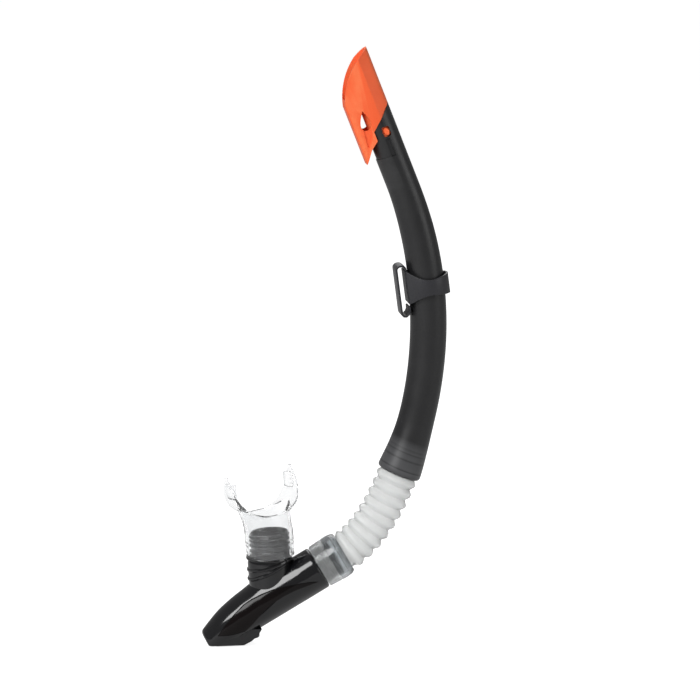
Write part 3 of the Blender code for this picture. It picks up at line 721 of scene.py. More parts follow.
@dataclass(frozen=True)
class SmokedTube(Finish):
    """Smoked plastic with painted see-through light at its lower end: lighter bands over the socket's inner
    rings stand in for light showing through the thin wall.
    """

    socket_end: Vector = Vector((-0.0026, 0.0, -0.1313))
    reach_mm: float = 40.0
    through_light_colour: Colour = (0.085, 0.086, 0.09)

    def colour_nodes(self, tree: bpy.types.NodeTree) -> bpy.types.NodeSocket:
        """Nodes for the base colour, with painted see-through light in bands by the distance up from the
        lower end.

        Args:
            tree: The material's node tree.

        Returns:
            The socket that gives the colour.
        """
        plain = super().colour_nodes(tree)
        place = tree.nodes.new("ShaderNodeTexCoord")
        along = Vector((-sin(ARC_LOW), 0.0, cos(ARC_LOW)))
        from_end = tree.nodes.new("ShaderNodeVectorMath")
        from_end.operation = "SUBTRACT"
        from_end.inputs[1].default_value = self.socket_end
        dot = tree.nodes.new("ShaderNodeVectorMath")
        dot.operation = "DOT_PRODUCT"
        dot.inputs[1].default_value = along
        height = tree.nodes.new("ShaderNodeMapRange")
        height.inputs["From Max"].default_value = self.reach_mm * MM
        through_light_bands = tree.nodes.new("ShaderNodeValToRGB")
        ramp = through_light_bands.color_ramp
        stops = [(0.0, 0.10), (1.2, 0.20), (4.2, 0.30), (5.0, 0.06), (6.0, 0.26), (11.5, 0.22), (12.4, 0.07),
                 (13.6, 0.24), (16.4, 0.20), (17.2, 0.08), (18.2, 0.22), (20.0, 0.12), (21.0, 0.19),
                 (24.0, 0.10), (26.5, 0.0)]
        while len(ramp.elements) < len(stops):
            ramp.elements.new(0.5)
        for element, (distance, share) in zip(ramp.elements, stops):
            level = share * 3
            element.position = distance / self.reach_mm
            element.color = (level, level, level, 1.0)
        # Painted see-through light: the ramp mixes a lighter grey into the smoke in bands.
        mix = tree.nodes.new("ShaderNodeMix")
        mix.data_type = "RGBA"
        mix.inputs[7].default_value = (*self.through_light_colour, 1.0)
        tree.links.new(place.outputs["Object"], from_end.inputs[0])
        tree.links.new(from_end.outputs["Vector"], dot.inputs[0])
        tree.links.new(dot.outputs["Value"], height.inputs["Value"])
        tree.links.new(height.outputs["Result"], through_light_bands.inputs["Fac"])
        tree.links.new(through_light_bands.outputs["Color"], mix.inputs["Factor"])
        tree.links.new(plain, mix.inputs[6])
        return mix.outputs[2]


# The edge amounts and edge colours below paint a highlight on convex edges.
SMOKED = SmokedTube("smoked_tube", (0.010, 0.010, 0.011), (0.014, 0.014, 0.015), (0.34, 0.42), depth=0.015,
                    painted_highlight=0.05)
# Its lighter orange edge colour is a painted highlight.
ORANGE = Finish("orange_moulding", (0.88, 0.120, 0.036), (0.93, 0.136, 0.042), (0.42, 0.50), depth=0.012,
                painted_highlight=0.5, highlight_colour=(1.0, 0.34, 0.14), ior=1.3, subsurface=0.06)
CHARCOAL = Finish("charcoal_rubber", (0.014, 0.014, 0.018), (0.018, 0.018, 0.022), (0.42, 0.52), grain=2200.0,
                  depth=0.03, painted_highlight=0.12, sheen=0.05)
GLOSS = Finish("gloss_smoked", (0.004, 0.004, 0.005), (0.007, 0.007, 0.008), (0.08, 0.14), depth=0.006,
               painted_highlight=0.04, coat=0.25)
LEAF = Finish("leaf_gloss", (0.003, 0.002, 0.002), (0.005, 0.003, 0.003), (0.10, 0.16), depth=0.006, ior=1.3)
# Near-black matte sheet that paints the shadow of the leaf panels' step as a thin dark outline.
LEAF_STEP_SHADOW = Finish("painted_step_shadow", (0.002, 0.002, 0.002), (0.004, 0.004, 0.004), (0.6, 0.7), ior=1.2)
MILKY = Finish("milky_silicone", (0.985, 0.992, 0.988), (0.965, 0.975, 0.97), (0.12, 0.18), depth=0.010,
               transmission=0.70, ior=1.36)
CLEAR = Finish("clear_plastic", (0.88, 0.90, 0.90), (0.84, 0.86, 0.86), (0.05, 0.09), depth=0.004,
               transmission=0.86, ior=1.42)
CAP_GREY = Finish("frosted_cap", (0.62, 0.645, 0.66), (0.56, 0.585, 0.60), (0.10, 0.16), depth=0.01,
                  transmission=0.92, ior=1.47)
SILICONE = Finish("clear_silicone", (0.945, 0.95, 0.955), (0.92, 0.93, 0.935), (0.03, 0.06), depth=0.004,
                  transmission=0.95, ior=1.22)
SEAL = Finish("seal_rubber", (0.01, 0.01, 0.01), (0.016, 0.016, 0.016), (0.5, 0.6))
FLOOR = Finish("pale_floor", (0.46, 0.46, 0.46), (0.44, 0.44, 0.44), (0.6, 0.7), grain=40.0)


# ---------------------------------------------------------------- barrel


@dataclass
class Barrel:
    """Bent smoked tube with a stepped socket below and a recess and latch slot on each side above."""

    bend_mm: float = 213.3
    straight_mm: float = 62.0
    bore: float = 10.8 * MM
    top_bore: float = 9.3 * MM
    socket_bore: float = 13.3 * MM
    socket_depth: float = 20.0 * MM
    recess_depth: float = 0.55 * MM
    outside: tuple[tuple[float, float], ...] = (
        (0.0, 13.9), (0.5, 14.9), (1.3, 15.55), (2.4, 15.8), (5.0, 15.65), (12.0, 15.0), (22.0, 14.05),
        (36.0, 13.15), (52.0, 12.9), (120.0, 12.9), (170.0, 12.2), (213.0, 11.15), (290.0, 11.15))

    def station(self, distance: float, radius: float) -> Station:
        """Ring on the barrel's centre line.

        Args:
            distance: How far up from the lower end, along the centre line.
            radius: The ring's radius.

        Returns:
            The ring.
        """
        angle = min(ARC_LOW + distance / ARC_RADIUS, ARC_HIGH)
        centre = ARC_CENTRE + ARC_RADIUS * Vector((cos(angle), 0.0, sin(angle)))
        if distance > ARC_LENGTH:
            centre += Vector((-sin(angle), 0.0, cos(angle))) * (distance - ARC_LENGTH)
        return Station(centre, -angle, radius, radius)

    def build(self) -> list[bpy.types.Object]:
        """Model the tube and cut its slanted top, its recess and its slots.

        Returns:
            The barrel.
        """
        top = self.bend_mm + self.straight_mm
        places = [0.0, 0.5, 1.3, 2.4, 5.0, 8.0, *even(12.0, self.bend_mm, 52), top]
        table = self.outside
        rings = [self.station(p * MM, eased(p, table) * MM) for p in places]
        for place in [top, *even(210.0, 32.0, 24)]:
            rings.append(self.station(place * MM, self.top_bore if place > 200 else self.bore))
        rings.append(self.station(self.socket_depth, self.bore))
        rings.append(self.station(self.socket_depth, self.socket_bore))
        rings.append(self.station(0.6 * MM, self.socket_bore))
        piece = Bench.sweep("barrel_tube", rings, 72, Ends.JOINED)
        Bench.combine(piece, Guard.above_seam("slant", 0.15 * MM), Step.CUT)
        floor, outside, low, high = TOP_RADIUS - self.recess_depth, 16 * MM, 21.5 * MM, 70 * MM
        profile = [(floor, low), (outside, low), (outside, high), (floor, high)]
        shell = Bench.lathe("recess", profile, STRAIGHT_FRAME, 72)
        half = Bench.box("half", Vector((40, 60, 90)) * MM, Vector((21.3, 0, 40)) * MM, STRAIGHT_FRAME)
        Bench.combine(shell, half, Step.CUT)
        Bench.combine(piece, shell, Step.CUT)
        for side in (-1, 1):
            window = Bench.box("window", Vector((5.6, 8, 7.2)) * MM, Vector((1.9, side * 11, 38.8)) * MM,
                               STRAIGHT_FRAME, 1.6 * MM)
            Bench.combine(piece, window, Step.CUT)
            slot = Bench.box("slot", Vector((3.0, 2.6, 13.0)) * MM, Vector((0.7, side * 10.9, 27.4)) * MM,
                             STRAIGHT_FRAME)
            Bench.combine(piece, slot, Step.CUT)
        Bench.smooth(SMOKED.dress(piece))
        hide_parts("barrel")
        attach(piece, Body.BARREL.value)
        return [piece]


# ---------------------------------------------------------------- splash guard


GUARD_ACROSS = Vector((0.0, 0.04, 0.0))
GUARD_UP = Vector((0.0, 0.0, 0.13))


@dataclass
class Guard:
    """Hooded splash guard with flat cheeks, and a drain window and a shallow channel on each of them."""

    depth: float = 11.5 * MM
    wall: float = 1.7 * MM
    keel: float = -18.5 * MM
    tip: float = 97.5 * MM

    @staticmethod
    def seam(t: float) -> float:
        """Height of the slanted seam at a place across, in the straight's frame."""
        return 56.8 * MM + 0.88 * (t - TOP_RADIUS)

    @staticmethod
    def above_seam(name: str, drop: float) -> bpy.types.Object:
        """Prism of everything above the seam.

        Args:
            name: The new piece's name.
            drop: How far below the seam it starts.

        Returns:
            The prism, for cutting the barrel's top.
        """
        left, right, top = -40 * MM, 40 * MM, 200 * MM
        low_left, low_right = Guard.seam(left) - drop, Guard.seam(right) - drop
        points = [(left, low_left), (right, low_right), (right, top), (left, top)]
        piece = Bench.prism(name, [Vector((t, -0.03, s)) for t, s in points], Vector((0.0, 0.06, 0.0)))
        return Bench.place(piece, STRAIGHT_FRAME)

    def mouth(self, count: int = 25) -> list[tuple[float, float]]:
        """Curved open edge from the tip down to the top of the keel.

        Args:
            count: How many points it has.

        Returns:
            Points (across, along) in the straight's frame.
        """
        start = Vector((TOP_RADIUS, self.tip))
        middle = Vector((-11.5, 88.0)) * MM
        end = Vector((self.keel, 64 * MM))
        points = []
        for share in even(0.0, 1.0, count):
            rest = 1.0 - share
            point = start * rest * rest + middle * 2 * rest * share + end * share * share
            points.append((point.x, point.y))
        return points

    def outline(self, inset: float, past: float) -> list[Vector]:
        """Side outline of the guard, or of its hollow.

        Args:
            inset: The wall's thickness for the hollow, or 0 for the outside.
            past: How far the hollow runs past the open edge.

        Returns:
            The outline in the straight's XZ plane.
        """
        left, right = self.keel - 3 * MM, TOP_RADIUS + 3 * MM
        edge = [(t - past * 0.5, s + past) for t, s in self.mouth()]
        edge = [(right, edge[0][1] + 0.5 * MM), *edge, (left - past, edge[-1][1] - 3 * MM)]
        if inset:
            floor = [(left - past, 40 * MM), (-9.2 * MM, 37 * MM), (-6.0 * MM, self.seam(-6.0 * MM) + inset)]
            points = [(right, self.seam(right) + inset), *edge, *floor]
        else:
            foot = [(left, 17.2 * MM), (-12.0 * MM, 30.2 * MM), (-6.2 * MM, 34.7 * MM),
                    (-6.2 * MM, self.seam(-6.2 * MM)), (right, self.seam(right))]
            points = [*edge, *foot]
        return [Vector((t, -0.02, s)) for t, s in points]

    def section(self, inset: float) -> list[Vector]:
        """Rounded back, a facet down each side of it, and flat cheeks that narrow to the keel.

        Args:
            inset: The wall's thickness for the hollow, or 0 for the outside.

        Returns:
            The section in the straight's XY plane.
        """
        round_back = [radians(v) for v in range(-35, 36, 5)]
        back = [((TOP_RADIUS - inset) * cos(v), (TOP_RADIUS - inset) * sin(v)) for v in round_back]
        back = [(1.5 * MM, inset - self.depth), *back, (1.5 * MM, self.depth - inset)]
        keel, narrow, wide = self.keel + inset, 6.5 * MM - inset * 0.8, 8.2 * MM - inset * 0.8
        front = [(keel + 2 * MM, wide), (keel, narrow), (keel, -narrow), (keel + 2 * MM, -wide)]
        return [Vector((t, y, 0.0)) for t, y in back + front]

    def drain(self, count: int = 32) -> list[Vector]:
        """Outline of the drain window, a drop with its point upwards.

        Args:
            count: How many points it has.

        Returns:
            The outline in the straight's XZ plane.
        """
        points = []
        for step in range(count):
            angle = 2 * pi * step / count
            taper = sin(angle / 2) ** 1.4
            t = -8.6 * MM + 5.2 * MM * sin(angle) * taper - 0.7 * MM * (1 - cos(angle))
            points.append(Vector((t, -0.02, 51.2 * MM + 7.2 * MM * cos(angle))))
        return points

    def build(self) -> list[bpy.types.Object]:
        """Model the guard from its outline and its section, then hollow and cut it.

        Returns:
            The guard.
        """
        piece = Bench.prism("guard_hood", self.outline(0.0, 0.0), GUARD_ACROSS)
        Bench.combine(piece, Bench.prism("skin", self.section(0.0), GUARD_UP), Step.KEEP)
        hollow = Bench.prism("hollow", self.outline(self.wall, 4 * MM), GUARD_ACROSS)
        Bench.combine(hollow, Bench.prism("hollow_skin", self.section(self.wall), GUARD_UP), Step.KEEP)
        Bench.combine(piece, hollow, Step.CUT)
        snug, own_frame = TOP_RADIUS - 0.5 * MM, Matrix.Identity(4)
        seat_profile = [(0.0, 0.0), (snug, 0.0), (snug, 47 * MM), (0.0, 47 * MM)]
        Bench.combine(piece, Bench.lathe("seat", seat_profile, own_frame, 72), Step.CUT)
        bore_profile = from_mm([(0.0, 0.0), (7.8, 0.0), (7.8, 67.0), (0.0, 67.0)])
        Bench.combine(piece, Bench.lathe("bore", bore_profile, own_frame, 64), Step.CUT)
        Bench.combine(piece, Bench.prism("drain", self.drain(), GUARD_ACROSS), Step.CUT)
        Bench.combine(piece, self.channel(), Step.CUT)
        Bench.place(piece, STRAIGHT_FRAME)
        Bench.soften(piece, 0.3 * MM, 24.0)
        Bench.smooth(ORANGE.dress(piece), 13.0)
        sleeve_profile = from_mm([(7.8, 26.0), (8.9, 26.0), (8.9, 60.0), (7.8, 60.0)])
        sleeve = Bench.lathe("guard_sleeve", sleeve_profile, STRAIGHT_FRAME, 64)
        Bench.smooth(ORANGE.dress(sleeve))
        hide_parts("splash_guard")
        for part in (piece, sleeve):
            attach(part, Body.BARREL.value)
        return [piece, sleeve]

    def channel(self) -> bpy.types.Object:
        """Shallow channel below the drain window, on both cheeks at once.

        Returns:
            The cutter, in the straight's frame.
        """
        outline = [(-12.6, 45.4), (-13.9, 33.4), (-13.2, 32.4), (-11.0, 34.0), (-8.9, 37.4), (-7.6, 41.2),
                   (-7.2, 44.6), (-7.9, 46.4)]
        piece = Bench.prism("channel", [Vector((t, -20.0, z)) * MM for t, z in outline], GUARD_ACROSS)
        core = Bench.prism("channel_core", self.section(1.05 * MM), GUARD_UP)
        return Bench.combine(piece, core, Step.CUT)


# ---------------------------------------------------------------- keeper


@dataclass
class Keeper:
    """Waisted rubber band round the barrel with a flat wall, and the strip that closes the strap slot."""

    radius: float = 16.0 * MM
    wall: float = 1.5 * MM
    face: float = -15.2 * MM
    slot_width: float = 4.9 * MM
    strip: float = 1.4 * MM
    strip_depth: float = 8.0 * MM
    top: tuple[tuple[float, float], ...] = (
        (-20.0, 12.2), (-15.5, 12.0), (-13.0, 10.2), (-8.0, 7.0), (-3.0, 5.0), (2.0, 4.3), (8.0, 4.9),
        (20.0, 6.6))
    bottom: tuple[tuple[float, float], ...] = (
        (-20.0, -12.6), (-13.0, -11.0), (-8.0, -8.6), (-3.0, -7.0), (2.0, -6.6), (8.0, -7.4), (20.0, -9.0))

    def plan(self) -> list[Vector]:
        """Plan of the band's outside, round on the far side and flat at the slot.

        Returns:
            The plan in the keeper's XY plane.
        """
        limit, count = radians(128), 44
        points = []
        for angle in even(-limit, limit, count):
            points.append(Vector((self.radius * cos(angle), self.radius * sin(angle), 0.0)))
        half = [(-12.4 * MM, 11.2 * MM), (self.face + 0.6 * MM, 9.6 * MM), (self.face, 8.6 * MM),
                (self.face, 4.0 * MM)]
        points += [Vector((x, y, 0.0)) for x, y in half]
        return points + [Vector((x, -y, 0.0)) for x, y in reversed(half)]

    def band(self) -> bpy.types.Object:
        """Extrude the plan into a wall, pull its edges to their heights and thicken it.

        Returns:
            The band.
        """
        piece = Bench.draw("keeper_wall", self.plan())
        Bench.edit(piece)
        bpy.ops.mesh.extrude_region_move(TRANSFORM_OT_translate={"value": (0.0, 0.0, MM)})
        bpy.ops.object.mode_set(mode="OBJECT")
        for index, place in enumerate([vertex.co.copy() for vertex in piece.data.vertices]):
            height = eased(place.x / MM, self.top if place.z > 0.5 * MM else self.bottom) * MM
            Bench.edit(piece)
            bpy.ops.mesh.select_all(action="DESELECT")
            bpy.ops.object.mode_set(mode="OBJECT")
            piece.data.vertices[index].select = True
            bpy.ops.object.mode_set(mode="EDIT")
            bpy.ops.transform.translate(value=(0.0, 0.0, height - place.z))
            bpy.ops.object.mode_set(mode="OBJECT")
        Bench.edit(piece)
        Bench.close(piece)
        thick = piece.modifiers.new("wall", "SOLIDIFY")
        thick.thickness = self.wall
        thick.offset = -1.0
        thick.use_even_offset = True
        Bench.apply(piece, thick)
        Bench.soften(piece, 0.32 * MM, 50.0, 3)
        Bench.place(piece, KEEPER_FRAME)
        return Bench.smooth(piece, 50.0)

    def gate(self) -> bpy.types.Object:
        """Draw the strip's middle line, extrude it along the slot and thicken it.

        Returns:
            The strip.
        """
        slot = self.face - self.slot_width / 2
        half = self.slot_width / 2 + self.strip / 2
        points = [(slot + half, 12.6 * MM)]
        for step in range(11):
            angle = pi * step / 10
            points.append((slot + half * cos(angle), 13.2 * MM + half * 0.8 * sin(angle)))
        points += [(slot - half, -4.0 * MM), (slot - half, -17.6 * MM), (slot - half + 0.3 * MM, -18.9 * MM),
                   (slot - half + 1.1 * MM, -20.0 * MM), (slot - 0.2 * MM, -20.3 * MM),
                   (slot + 1.6 * MM, -19.0 * MM), (slot + half - 0.5 * MM, -17.0 * MM),
                   (slot + half - 0.3 * MM, -13.8 * MM)]
        piece = Bench.draw("gate_strip", [Vector((r, -self.strip_depth, a)) for r, a in points], closed=False)
        Bench.edit(piece)
        bpy.ops.mesh.extrude_region_move(TRANSFORM_OT_translate={"value": (0.0, 2 * self.strip_depth, 0.0)})
        Bench.close(piece)
        thick = piece.modifiers.new("wall", "SOLIDIFY")
        thick.thickness = self.strip
        thick.offset = 0.0
        thick.use_even_offset = True
        Bench.apply(piece, thick)
        Bench.soften(piece, 0.3 * MM, 60.0, 3)
        Bench.place(piece, KEEPER_FRAME)
        return Bench.smooth(piece, 40.0)

    def build(self) -> list[bpy.types.Object]:
        """Model the band and its strip.

        Returns:
            The band and the strip.
        """
        band, gate = self.band(), self.gate()
        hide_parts("keeper_band")
        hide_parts("keeper_gate")
        for piece, body in ((band, Body.KEEPER), (gate, Body.GATE)):
            CHARCOAL.dress(piece)
            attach(piece, body.value)
        return [band, gate]


# ---------------------------------------------------------------- hose


@dataclass
class Hose:
    """Corrugated silicone hose from the barrel's socket to the collar, with a plain cuff at each end."""

    handle: float = 25.0 * MM
    crest: float = 14.8 * MM
    trough: float = 12.3 * MM
    wall: float = 1.2 * MM
    pitch: float = 7.6 * MM
    crests: int = 9
    first: float = 4.0 * MM
    cuff: float = 16.0 * MM

    def path(self) -> list[tuple[float, Vector, float]]:
        """Follow the hose's cubic centre line from the barrel down.

        Returns:
            Distance, place and turn at each step along it.
        """
        start = ARC_CENTRE + ARC_RADIUS * Vector((cos(ARC_LOW), 0.0, sin(ARC_LOW)))
        end = CHAMBER_FRAME @ Vector((16.5 * MM, 0.0, 0.0))
        lead = start + self.handle * Vector((sin(ARC_LOW), 0.0, -cos(ARC_LOW)))
        tail = end + self.handle * Vector((cos(CHAMBER_TILT), 0.0, sin(CHAMBER_TILT)))
        found: list[tuple[float, Vector, float]] = []
        distance, before = 0.0, start
        for share in even(0.0, 1.0, 401):
            rest = 1.0 - share
            place = (start * rest ** 3 + lead * 3 * rest * rest * share + tail * 3 * rest * share ** 2
                     + end * share ** 3)
            way = (lead - start) * rest ** 2 + (tail - lead) * 2 * rest * share + (end - tail) * share ** 2
            distance += (place - before).length
            before = place
            found.append((distance, place, atan2(way.x, way.z)))
        return found

    def radius(self, distance: float) -> float:
        """Outside radius of the hose, with rounded crests and narrower grooves.

        Args:
            distance: How far down the hose.

        Returns:
            The radius there.
        """
        turns = (distance - self.first) / self.pitch
        if turns < -0.5 or turns > self.crests - 0.5:
            return self.trough
        return self.trough + (self.crest - self.trough) * (0.5 + 0.5 * cos(2 * pi * turns)) ** 0.62

    def build(self) -> list[bpy.types.Object]:
        """Sweep the outside down and the inside back up.

        Returns:
            The hose.
        """
        path = self.path()
        length = path[-1][0]

        def ring(distance: float, radius: float) -> Station:
            """Ring on the hose's centre line, straight on above its start.

            Args:
                distance: How far down the hose, or less than 0 inside the socket.
                radius: The ring's radius.

            Returns:
                The ring.
            """
            if distance < 0.0:
                back = Vector((sin(path[0][2]), 0.0, cos(path[0][2])))
                return Station(path[0][1] + back * distance, path[0][2], radius, radius)
            near = min(path, key=lambda item: abs(item[0] - distance))
            return Station(near[1], near[2], radius, radius)
        places = [-self.cuff, -0.6 * MM, *even(0.2 * MM, length - 0.2 * MM, 126), length]
        outside = [ring(p, self.radius(p)) for p in places]
        inside = [ring(p, self.radius(p) - self.wall) for p in reversed(places)]
        piece = Bench.sweep("corrugated_hose", outside + inside, 72, Ends.JOINED)
        Bench.smooth(MILKY.dress(piece), 60.0)
        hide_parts("flex_hose")
        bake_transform(piece)
        return [piece]


# ---------------------------------------------------------------- collar


@dataclass
class Collar:
    """Clear ribbed collar on the chamber's neck and the frosted cap over the hose's end."""

    inner: float = 13.7 * MM
    ribs: int = 6

    def build(self) -> list[bpy.types.Object]:
        """Turn the collar with its ribs, and the rounded cap.

        Returns:
            The collar and the cap.
        """
        profile = [(self.inner, 0.3 * MM), (15.3 * MM, 0.3 * MM), (15.6 * MM, 0.7 * MM)]
        for rib in range(self.ribs):
            low = (1.1 + 1.35 * rib) * MM
            root = 15.8 * MM + 0.4 * MM * rib / (self.ribs - 1)
            profile += [(root, low), (root + 0.3 * MM, low + 0.3 * MM), (root + 0.3 * MM, low + 0.65 * MM),
                        (root, low + 0.95 * MM)]
        profile += [(16.3 * MM, 9.4 * MM), (16.2 * MM, 9.9 * MM), (self.inner, 9.9 * MM)]
        collar = Bench.smooth(CLEAR.dress(Bench.lathe("ribbed_collar", profile, CHAMBER_AXIS)))
        outside = from_mm([(16.1, 10.05), (16.5, 10.4), (16.6, 13.5), (16.4, 16.2), (16.15, 17.7),
                           (15.7, 19.0), (15.1, 20.0), (14.6, 20.5), (14.1, 20.4), (14.0, 16.9)])
        cap_profile = [(self.inner, 10.05 * MM), *outside, (self.inner, 16.5 * MM)]
        cap = Bench.smooth(CAP_GREY.dress(Bench.lathe("rounded_cap", cap_profile, CHAMBER_AXIS)))
        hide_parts("swivel_collar")
        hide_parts("collar_cap")
        for piece in (collar, cap):
            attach(piece, Body.HOSE_END.value)
        return [collar, cap]


# ---------------------------------------------------------------- chamber


@dataclass
class Chamber:
    """Gloss smoked purge chamber with its neck, mouthpiece port, leaf panels with a painted shadow outline,
    and purge cover.
    """

    radius: float = 15.7 * MM
    rib_angles: tuple[float, ...] = (-4.0, 12.0, 23.0)
    nose: tuple[tuple[float, float], ...] = (
        (-104.0, -1.6), (-98.0, 2.4), (-87.5, 6.9), (-77.4, 10.5), (-65.0, 13.1), (-55.8, 14.3),
        (-46.0, 15.5), (-30.0, 15.7), (0.0, 15.7))

    def shell(self, name: str, grow: float, low_cut: float = PURGE_FACE_Z,
              high_cut: float | None = None) -> bpy.types.Object:
        """Sweep the chamber from its nose to its neck end and cut it flat below, and above if asked.

        Args:
            name: The new piece's name.
            grow: How far outside the chamber's own skin it stands.
            low_cut: Height of the lower cut.
            high_cut: Height of the upper cut, if there is one.

        Returns:
            The closed shell.
        """
        rings = []
        snout = {-95.6: 0.78, -95.45: 0.86, -95.1: 0.93, -94.5: 0.98}
        for k in [*snout, *even(-93.6, -1.5, 60), -1.1, -0.7, -0.3, 0.0]:
            high = eased(k, self.nose) * MM + grow
            low = -self.radius - grow
            edge = {-1.1: 0.15, -0.7: 0.4, -0.3: 0.9, 0.0: 1.6}.get(k, 0.0) * MM
            centre = CHAMBER_FRAME @ Vector((k * MM, 0.0, (high + low) / 2))
            wide = 1.0 + 0.055 * min(1.0, -k / 14.0)
            half = ((high - low) / 2 - edge) * snout.get(k, 1.0)
            rings.append(Station(centre, pi / 2 - CHAMBER_TILT, half, half * wide))
        piece = Bench.sweep(name, rings, 96, Ends.CAPPED)
        Bench.edit(piece)
        bpy.ops.mesh.bisect(plane_co=(0.0, 0.0, low_cut), plane_no=(0.0, 0.0, 1.0), use_fill=True,
                            clear_inner=True)
        if high_cut is not None:
            bpy.ops.mesh.select_all(action="SELECT")
            bpy.ops.mesh.bisect(plane_co=(0.0, 0.0, high_cut), plane_no=(0.0, 0.0, 1.0), use_fill=True,
                                clear_outer=True)
        return Bench.close(piece)

    def leaf(self, name: str, side: int, margin: float, proud: float) -> bpy.types.Object:
        """Leaf-shaped panel on one flank that stands a little proud; grown and set lower, it is the sheet
        that paints the panel's step shadow.

        Args:
            name: The new piece's name.
            side: -1 for the near flank, 1 for the far one.
            margin: How far the outline is grown.
            proud: How far it stands out of the chamber's skin.

        Returns:
            The panel.
        """
        outline = [(-6.3, -4.6), (-11.5, -1.4), (-18.0, 1.4), (-29.0, 5.2), (-36.5, 7.0), (-44.5, 7.9),
                   (-52.0, 8.3), (-59.0, 7.9), (-68.0, 5.6), (-78.2, 2.0), (-85.7, -1.9), (-80.5, -4.6),
                   (-75.7, -6.6), (-67.2, -8.9), (-60.0, -6.6), (-53.0, -3.8), (-46.0, -1.8), (-38.7, -0.6),
                   (-30.5, -0.5), (-22.5, -1.2), (-14.0, -2.8)]
        middle = Vector((sum(k for k, _ in outline), sum(h for _, h in outline))) / len(outline)
        points = []
        for k, h in outline:
            away = (Vector((k, h)) - middle).normalized() * margin
            points.append(Vector((k + away.x, side * 2.0, h + away.y)) * MM)
        piece = Bench.prism(name, points, Vector((0.0, side * 22 * MM, 0.0)))
        Bench.place(piece, CHAMBER_FRAME)
        Bench.combine(piece, self.shell("skin", proud), Step.KEEP)
        return Bench.smooth(piece)

    def neck(self) -> bpy.types.Object:
        """Turn the barbed neck that the collar turns on.

        Returns:
            The neck.
        """
        profile = [(0.0, -4.0), (12.9, -4.0), (12.9, 2.2), (13.4, 2.6), (13.4, 3.6), (12.9, 4.0),
                   (12.9, 6.5), (13.4, 6.9), (13.4, 7.9), (12.9, 8.3), (12.9, 13.2), (12.6, 13.5),
                   (10.9, 13.5), (10.9, -3.0), (0.0, -3.0)]
        return Bench.lathe("chamber_neck", from_mm(profile), CHAMBER_AXIS)

    def port(self) -> bpy.types.Object:
        """Turn the upright port with its ribs and its bore, and join its thicker root.

        Returns:
            The port.
        """
        profile = [(0.0, -42.0), (13.7, -42.0), (13.7, -14.7)]
        for middle in (-12.4, -8.3, -4.9, -2.0):
            profile += [(13.7, middle - 0.9), (14.3, middle - 0.5), (14.6, middle), (14.3, middle + 0.5),
                        (13.7, middle + 0.9)]
        profile += [(13.7, -0.6), (13.4, -0.1), (12.8, 0.0), (12.2, -0.2), (12.0, -0.6), (12.0, -40.0),
                    (0.0, -40.0)]
        piece = Bench.lathe("chamber_port", from_mm(profile), PORT_FRAME)
        root = [(12.6, -39.0), (15.4, -39.0), (15.4, -21.0), (14.8, -19.0), (13.6, -17.4), (12.6, -17.4)]
        place = PORT_FRAME @ Matrix.Translation((-1.3 * MM, 0.0, 0.0)) @ Matrix.Diagonal((1.0, 0.9, 1.0, 1.0))
        return Bench.combine(piece, Bench.lathe("root", from_mm(root), place), Step.JOIN)

    def fan_rib(self, number: int) -> bpy.types.Object:
        """Thin ring round the port's root, one of a fan that meets at the hose side.

        Args:
            number: Which rib, from the top.

        Returns:
            The ring.
        """
        angle = radians(self.rib_angles[number])
        corner = PORT_FRAME @ Matrix.Translation((15.1 * MM, 0.0, -19.6 * MM))
        turn = Matrix.Rotation(-angle, 4, "Y") @ Matrix.Diagonal((1.0 / cos(angle), 0.92, 1.0, 1.0))
        middle = corner @ turn @ Matrix.Translation((-16.3 * MM, 0.0, 0.0))
        profile = [(13.0, -1.5), (15.4, -1.4), (16.1, -0.9), (16.4, 0.0), (16.1, 0.9), (15.4, 1.4),
                   (13.0, 1.5)]
        return Bench.lathe(f"port_rib_{number + 1}", from_mm(profile), middle, 72)

    def cover(self) -> bpy.types.Object:
        """Purge cover that carries the chamber's sides on below its face, hollow over the valve and slotted.

        Returns:
            The cover.
        """
        piece = self.shell("purge_grille", -0.15 * MM, PURGE_FACE_Z - 5.6 * MM, PURGE_FACE_Z + 14.0 * MM)
        side = [(-134.0, -240.0), (-134.0, -250.4), (-114.5, -250.4), (-109.0, -247.6), (-104.5, -243.6),
                (-101.8, -239.4), (-101.0, -234.0)]
        outline = [Vector((x, -11.4, z)) * MM for x, z in side]
        tail = Bench.prism("tail", outline, Vector((0.0, 22.8 * MM, 0.0)))
        Bench.combine(piece, tail, Step.JOIN)
        Bench.soften(piece, 2.4 * MM, 50.0, 5)
        above = Bench.box("above", Vector((160, 60, 40)) * MM, Vector((-120.0, 0.0, -219.0)) * MM,
                          Matrix.Identity(4))
        Bench.combine(piece, above, Step.CUT)
        low, high = -4.6 * MM, 8.0 * MM
        profile = [(0.0, low), (1.0, low), (1.0, high), (0.0, high)]
        oval = PURGE_FRAME @ Matrix.Diagonal((15.5 * MM, 9.6 * MM, 1.0, 1.0))
        room = Bench.lathe("valve_room", profile, oval)
        Bench.combine(piece, room, Step.CUT)
        for slot in range(5):
            place = Vector((-11 + 5 * slot, 0.0, -6.0)) * MM
            cutter = Bench.box("slot", Vector((2.2, 12.0, 3.0)) * MM, place, PURGE_FRAME, 0.4 * MM)
            Bench.combine(piece, cutter, Step.CUT)
        return Bench.smooth(piece)

    def build(self) -> list[bpy.types.Object]:
        """Model the chamber and everything fixed on it.

        Returns:
            The pieces.
        """
        shell = self.shell("chamber_shell", 0.0)
        port = self.port()
        cover = self.cover()
        neck = self.neck()
        ribs = [self.fan_rib(number) for number in range(len(self.rib_angles))]
        pieces = [shell, neck, port, cover, *ribs]
        flanks = (("near", -1), ("far", 1))
        panels = [self.leaf(f"leaf_panel_{name}", side, 0.0, 0.28 * MM) for name, side in flanks]
